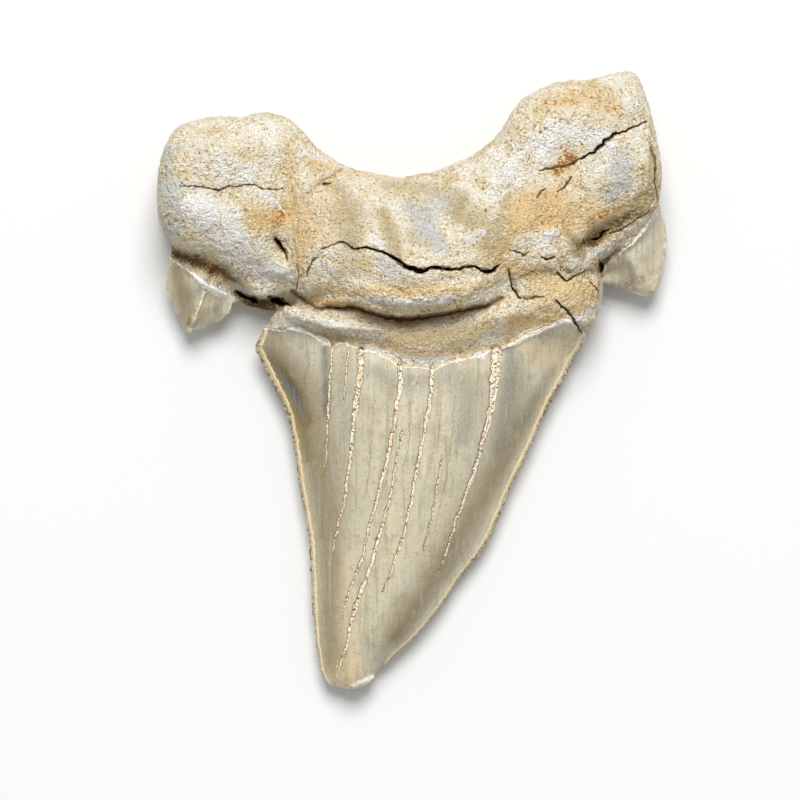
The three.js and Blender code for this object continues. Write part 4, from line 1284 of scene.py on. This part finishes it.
def with_filled_cracks(tree, colour, colours, maps):
    """Pale crumbs with brown gaps between them fill the crown's cracks; a thin brown band, darkest next to
    the crack, runs along their -X banks.
    """
    inside = inside_line(tree, maps, "crack", 0.42, 0.34)
    bank = add_node(tree, "MapRange", (maps["crack_bank"], 0.3, -0.3, 0.35, 1.0))
    crumbs = lay_over(
        tree,
        colours.cream,
        (colours.pale, maps["dust"], 0.50, 0.58, 0.8),
        (colours.ochre, maps["crumble"], 0.50, 0.42, 0.75),
        (colours.umber, maps["speckle"], 0.46, 0.40, 0.9),
    )
    return lay_over(
        tree,
        colour,
        (colours.amber, inside, -0.17, -0.05, 0.8, bank),
        (colours.umber, inside, -0.09, -0.02, 0.85, bank),
        (crumbs, inside, -0.03, 0.02, 0.97),
    )


def with_soil_in_cracks_and_shade_in_seam(tree, colour, colours, maps):
    """Soil lies in the hairlines, and a brown edge runs beside the fissures; the amber and umber of the seam
    under the lip are partly soil and partly painted shade under the lip's overhang.
    """
    seam = inside_line(tree, maps, "seam", 0.5, 0.30)
    hairline = inside_line(tree, maps, "hairline", 0.5, 0.20)
    beside = sum_up(tree, (maps["fissure"], 1.0), (maps["crumble"], 0.6), start=-0.3)
    faint = add_node(tree, "MapRange", (maps["enamel"], 0.1, 0.3, 1.0, 0.35))
    return lay_over(
        tree,
        colour,
        # Partly painted shade: amber and umber darken the seam where the lip overhangs the neck.
        (colours.amber, seam, -0.42, -0.04, 0.75),
        (colours.umber, seam, -0.06, 0.10, 0.9),
        (colours.amber, hairline, -0.10, 0.0, 0.8, faint),
        (colours.umber, hairline, -0.03, 0.03, 0.85, faint),
        (colours.amber, beside, 0.14, 0.03, 0.6),
        (colours.umber, beside, 0.05, -0.03, 0.8),
    )


def fossil_material(colours):
    """Phosphate fossil: a dull, grainy, iron-stained root and a crown of satin enamel.

    Grains and pits too fine for the mesh stand in the bump; the enamel has only its faint lines.
    """
    material, tree = new_material("mineralised_tooth_root_and_enamel")
    maps = {name: stored(tree, name) for name in MEASURES}
    maps.update(fossil_patterns(tree, place_on_tooth(tree)))
    enamel = with_worn_edge(tree, enamel_colour(tree, colours, maps), colours, maps)
    colour = with_enamel(tree, root_colour(tree, colours, maps), enamel, colours, maps)
    colour = with_soil_chalk_painted_light_and_shade(tree, colour, colours, maps)
    colour = with_filled_cracks(tree, colour, colours, maps)
    colour = with_soil_in_cracks_and_shade_in_seam(tree, colour, colours, maps)
    on_enamel = add_node(tree, "MapRange", (maps["enamel"], -0.02, 0.06))
    root_height = sum_up(tree, (maps["speckle"], 2.4), (maps["gaps"], -0.14), (maps["mottle"], 0.8))
    enamel_height = sum_up(tree, (maps["streaks"], 0.35), (maps["dust"], 0.16))
    height = add_node(tree, "Mix", {0: on_enamel, 2: root_height, 3: enamel_height})
    bump = add_node(tree, "Bump", {"Height": height, "Strength": 1.0, "Distance": 0.30 * MM})
    roughness = add_node(tree, "MapRange", (on_enamel, 0.0, 1.0, 0.88, 0.42))
    sockets = {"Base Color": colour, "Roughness": roughness, "Normal": bump, "Specular IOR Level": 0.35}
    finish_material(tree, sockets)
    return material


def fissure_material(colours):
    """Soil packed in the fissures, with painted shade: brown at their banks and darkened to nearly black
    towards the middle, where shade falls deep in a fissure; without gloss.

    Its crumbs are about 0.3 mm, twice as coarse as real ones.
    """
    material, tree = new_material("soil_and_painted_shade_in_fissures")
    crumbs = add_node(tree, "TexNoise", {"Vector": place_on_tooth(tree), "Scale": 1 / 0.3, "Detail": 3.0})
    # Painted shade: the colour darkens from the banks to the middle of each fissure.
    depth = sum_up(tree, (stored(tree, "fissure"), 1.0), (crumbs, 0.25), start=-0.125)
    colour = lay_over(
        tree,
        colours.umber,
        (colours.soil_and_shade_deep_in_fissures, depth, 0.02, -0.16, 1.0),
        (colours.amber, crumbs, 0.54, 0.66, 0.35),
    )
    finish_material(tree, {"Base Color": colour, "Roughness": 0.95})
    return material


def paper_material(colour):
    """Matt white paper: evenly pale and without gloss, so it shows soft shadows and nothing else."""
    material, tree = new_material("matt_white_paper")
    finish_material(tree, {"Base Color": (*colour, 1.0), "Roughness": 0.9})
    return material


# Operators.


class TOOTH_OT_surface(bpy.types.Operator):
    """Build the tooth's worn surface over its solid"""

    bl_idname = "tooth.surface"
    bl_label = "Tooth surface"

    def execute(self, context):
        settings = context.scene.tooth_surface
        colours = context.scene.tooth_colours
        solid = solid_in_millimetres()
        tree = cutting_edge_tree(solid)
        bm = even_surface(solid, settings.spacing / MM)
        skin_edge = smooth_form(bm)
        meet_cutting_edges(bm, skin_edge, tree)
        lighten_underside(bm)
        refine_for_detail(bm, tree)
        shaped, grain = shape_surface(bm, tree, settings)
        mesh = cut_fissures(bm, (fossil_material(colours), fissure_material(colours)))
        write_measures(mesh, tree, shaped, grain)
        mesh.transform(Matrix.Scale(MM, 4))
        mesh.name = "tooth_surface"
        tooth = linked_object("tooth_surface", mesh)
        mesh.polygons.foreach_set("use_smooth", [True] * len(mesh.polygons))
        mesh.set_sharp_from_angle(angle=math.radians(62))
        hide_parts(NODE)
        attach(tooth, BODY)
        return {"FINISHED"}


class TOOTH_OT_studio(bpy.types.Operator):
    """Set the pale floor, the soft light and the camera that looks straight down"""

    bl_idname = "tooth.studio"
    bl_label = "Studio"

    def execute(self, context):
        settings = context.scene.tooth_studio
        scene = context.scene
        bm = bmesh.new()
        bmesh.ops.create_grid(bm, x_segments=1, y_segments=1, size=settings.floor_reach)
        floor = linked_object("studio_floor", mesh_of(bm, "studio_floor", (paper_material(settings.floor),)))

        world = bpy.data.worlds.new("studio_air")
        scene.world = world
        world.use_nodes = True
        world.node_tree.nodes.clear()
        air = add_node(world.node_tree, "Background", ((1, 1, 1, 1), settings.air))
        add_node(world.node_tree, "OutputWorld", (air,))

        key = bpy.data.lights.new("soft_box", "AREA")
        key.shape = "DISK"
        key.size = settings.key_size
        key.energy = settings.key_power
        soft_box = bpy.data.objects.new("soft_box", key)
        soft_box.location = settings.key_place
        soft_box.rotation_euler = (-soft_box.location).to_track_quat("-Z", "Y").to_euler()
        scene.collection.objects.link(soft_box)

        camera_data = bpy.data.cameras.new("copy_stand_camera")
        camera_data.sensor_width = 36
        camera_data.lens = settings.lens
        camera_data.clip_end = 20
        camera = bpy.data.objects.new("copy_stand_camera", camera_data)
        distance = settings.view_width * settings.lens / camera_data.sensor_width
        camera.location = Vector(PICTURE_MIDDLE) * MM + Vector((0, 0, distance))
        scene.collection.objects.link(camera)
        scene.camera = camera
        scene.view_settings.view_transform = "Standard"
        return {"FINISHED"}


class TOOTH_PT_panel(bpy.types.Panel):
    """Lists the steps that build the tooth"""

    bl_idname = "TOOTH_PT_panel"
    bl_label = "Fossil shark tooth"
    bl_space_type = "VIEW_3D"
    bl_region_type = "UI"
    bl_category = "Tooth"

    def draw(self, context):
        layout = self.layout
        for operator in (TOOTH_OT_surface, TOOTH_OT_studio):
            layout.operator(operator.bl_idname)
        for group in ("tooth_surface", "tooth_colours", "tooth_studio"):
            settings = getattr(context.scene, group)
            box = layout.box()
            for name in settings.__annotations__:
                box.prop(settings, name)


CLASSES = (
    ToothSurfaceSettings,
    ToothColourSettings,
    ToothStudioSettings,
    TOOTH_OT_surface,
    TOOTH_OT_studio,
    TOOTH_PT_panel,
)


def register():
    for cls in CLASSES:
        bpy.utils.register_class(cls)
    bpy.types.Scene.tooth_surface = PointerProperty(type=ToothSurfaceSettings)
    bpy.types.Scene.tooth_colours = PointerProperty(type=ToothColourSettings)
    bpy.types.Scene.tooth_studio = PointerProperty(type=ToothStudioSettings)


def unregister():
    del bpy.types.Scene.tooth_surface
    del bpy.types.Scene.tooth_colours
    del bpy.types.Scene.tooth_studio
    for cls in reversed(CLASSES):
        bpy.utils.unregister_class(cls)


def main():
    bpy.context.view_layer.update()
    register()
    bpy.ops.tooth.surface()
    bpy.ops.tooth.studio()


if __name__ == "__main__":
    main()
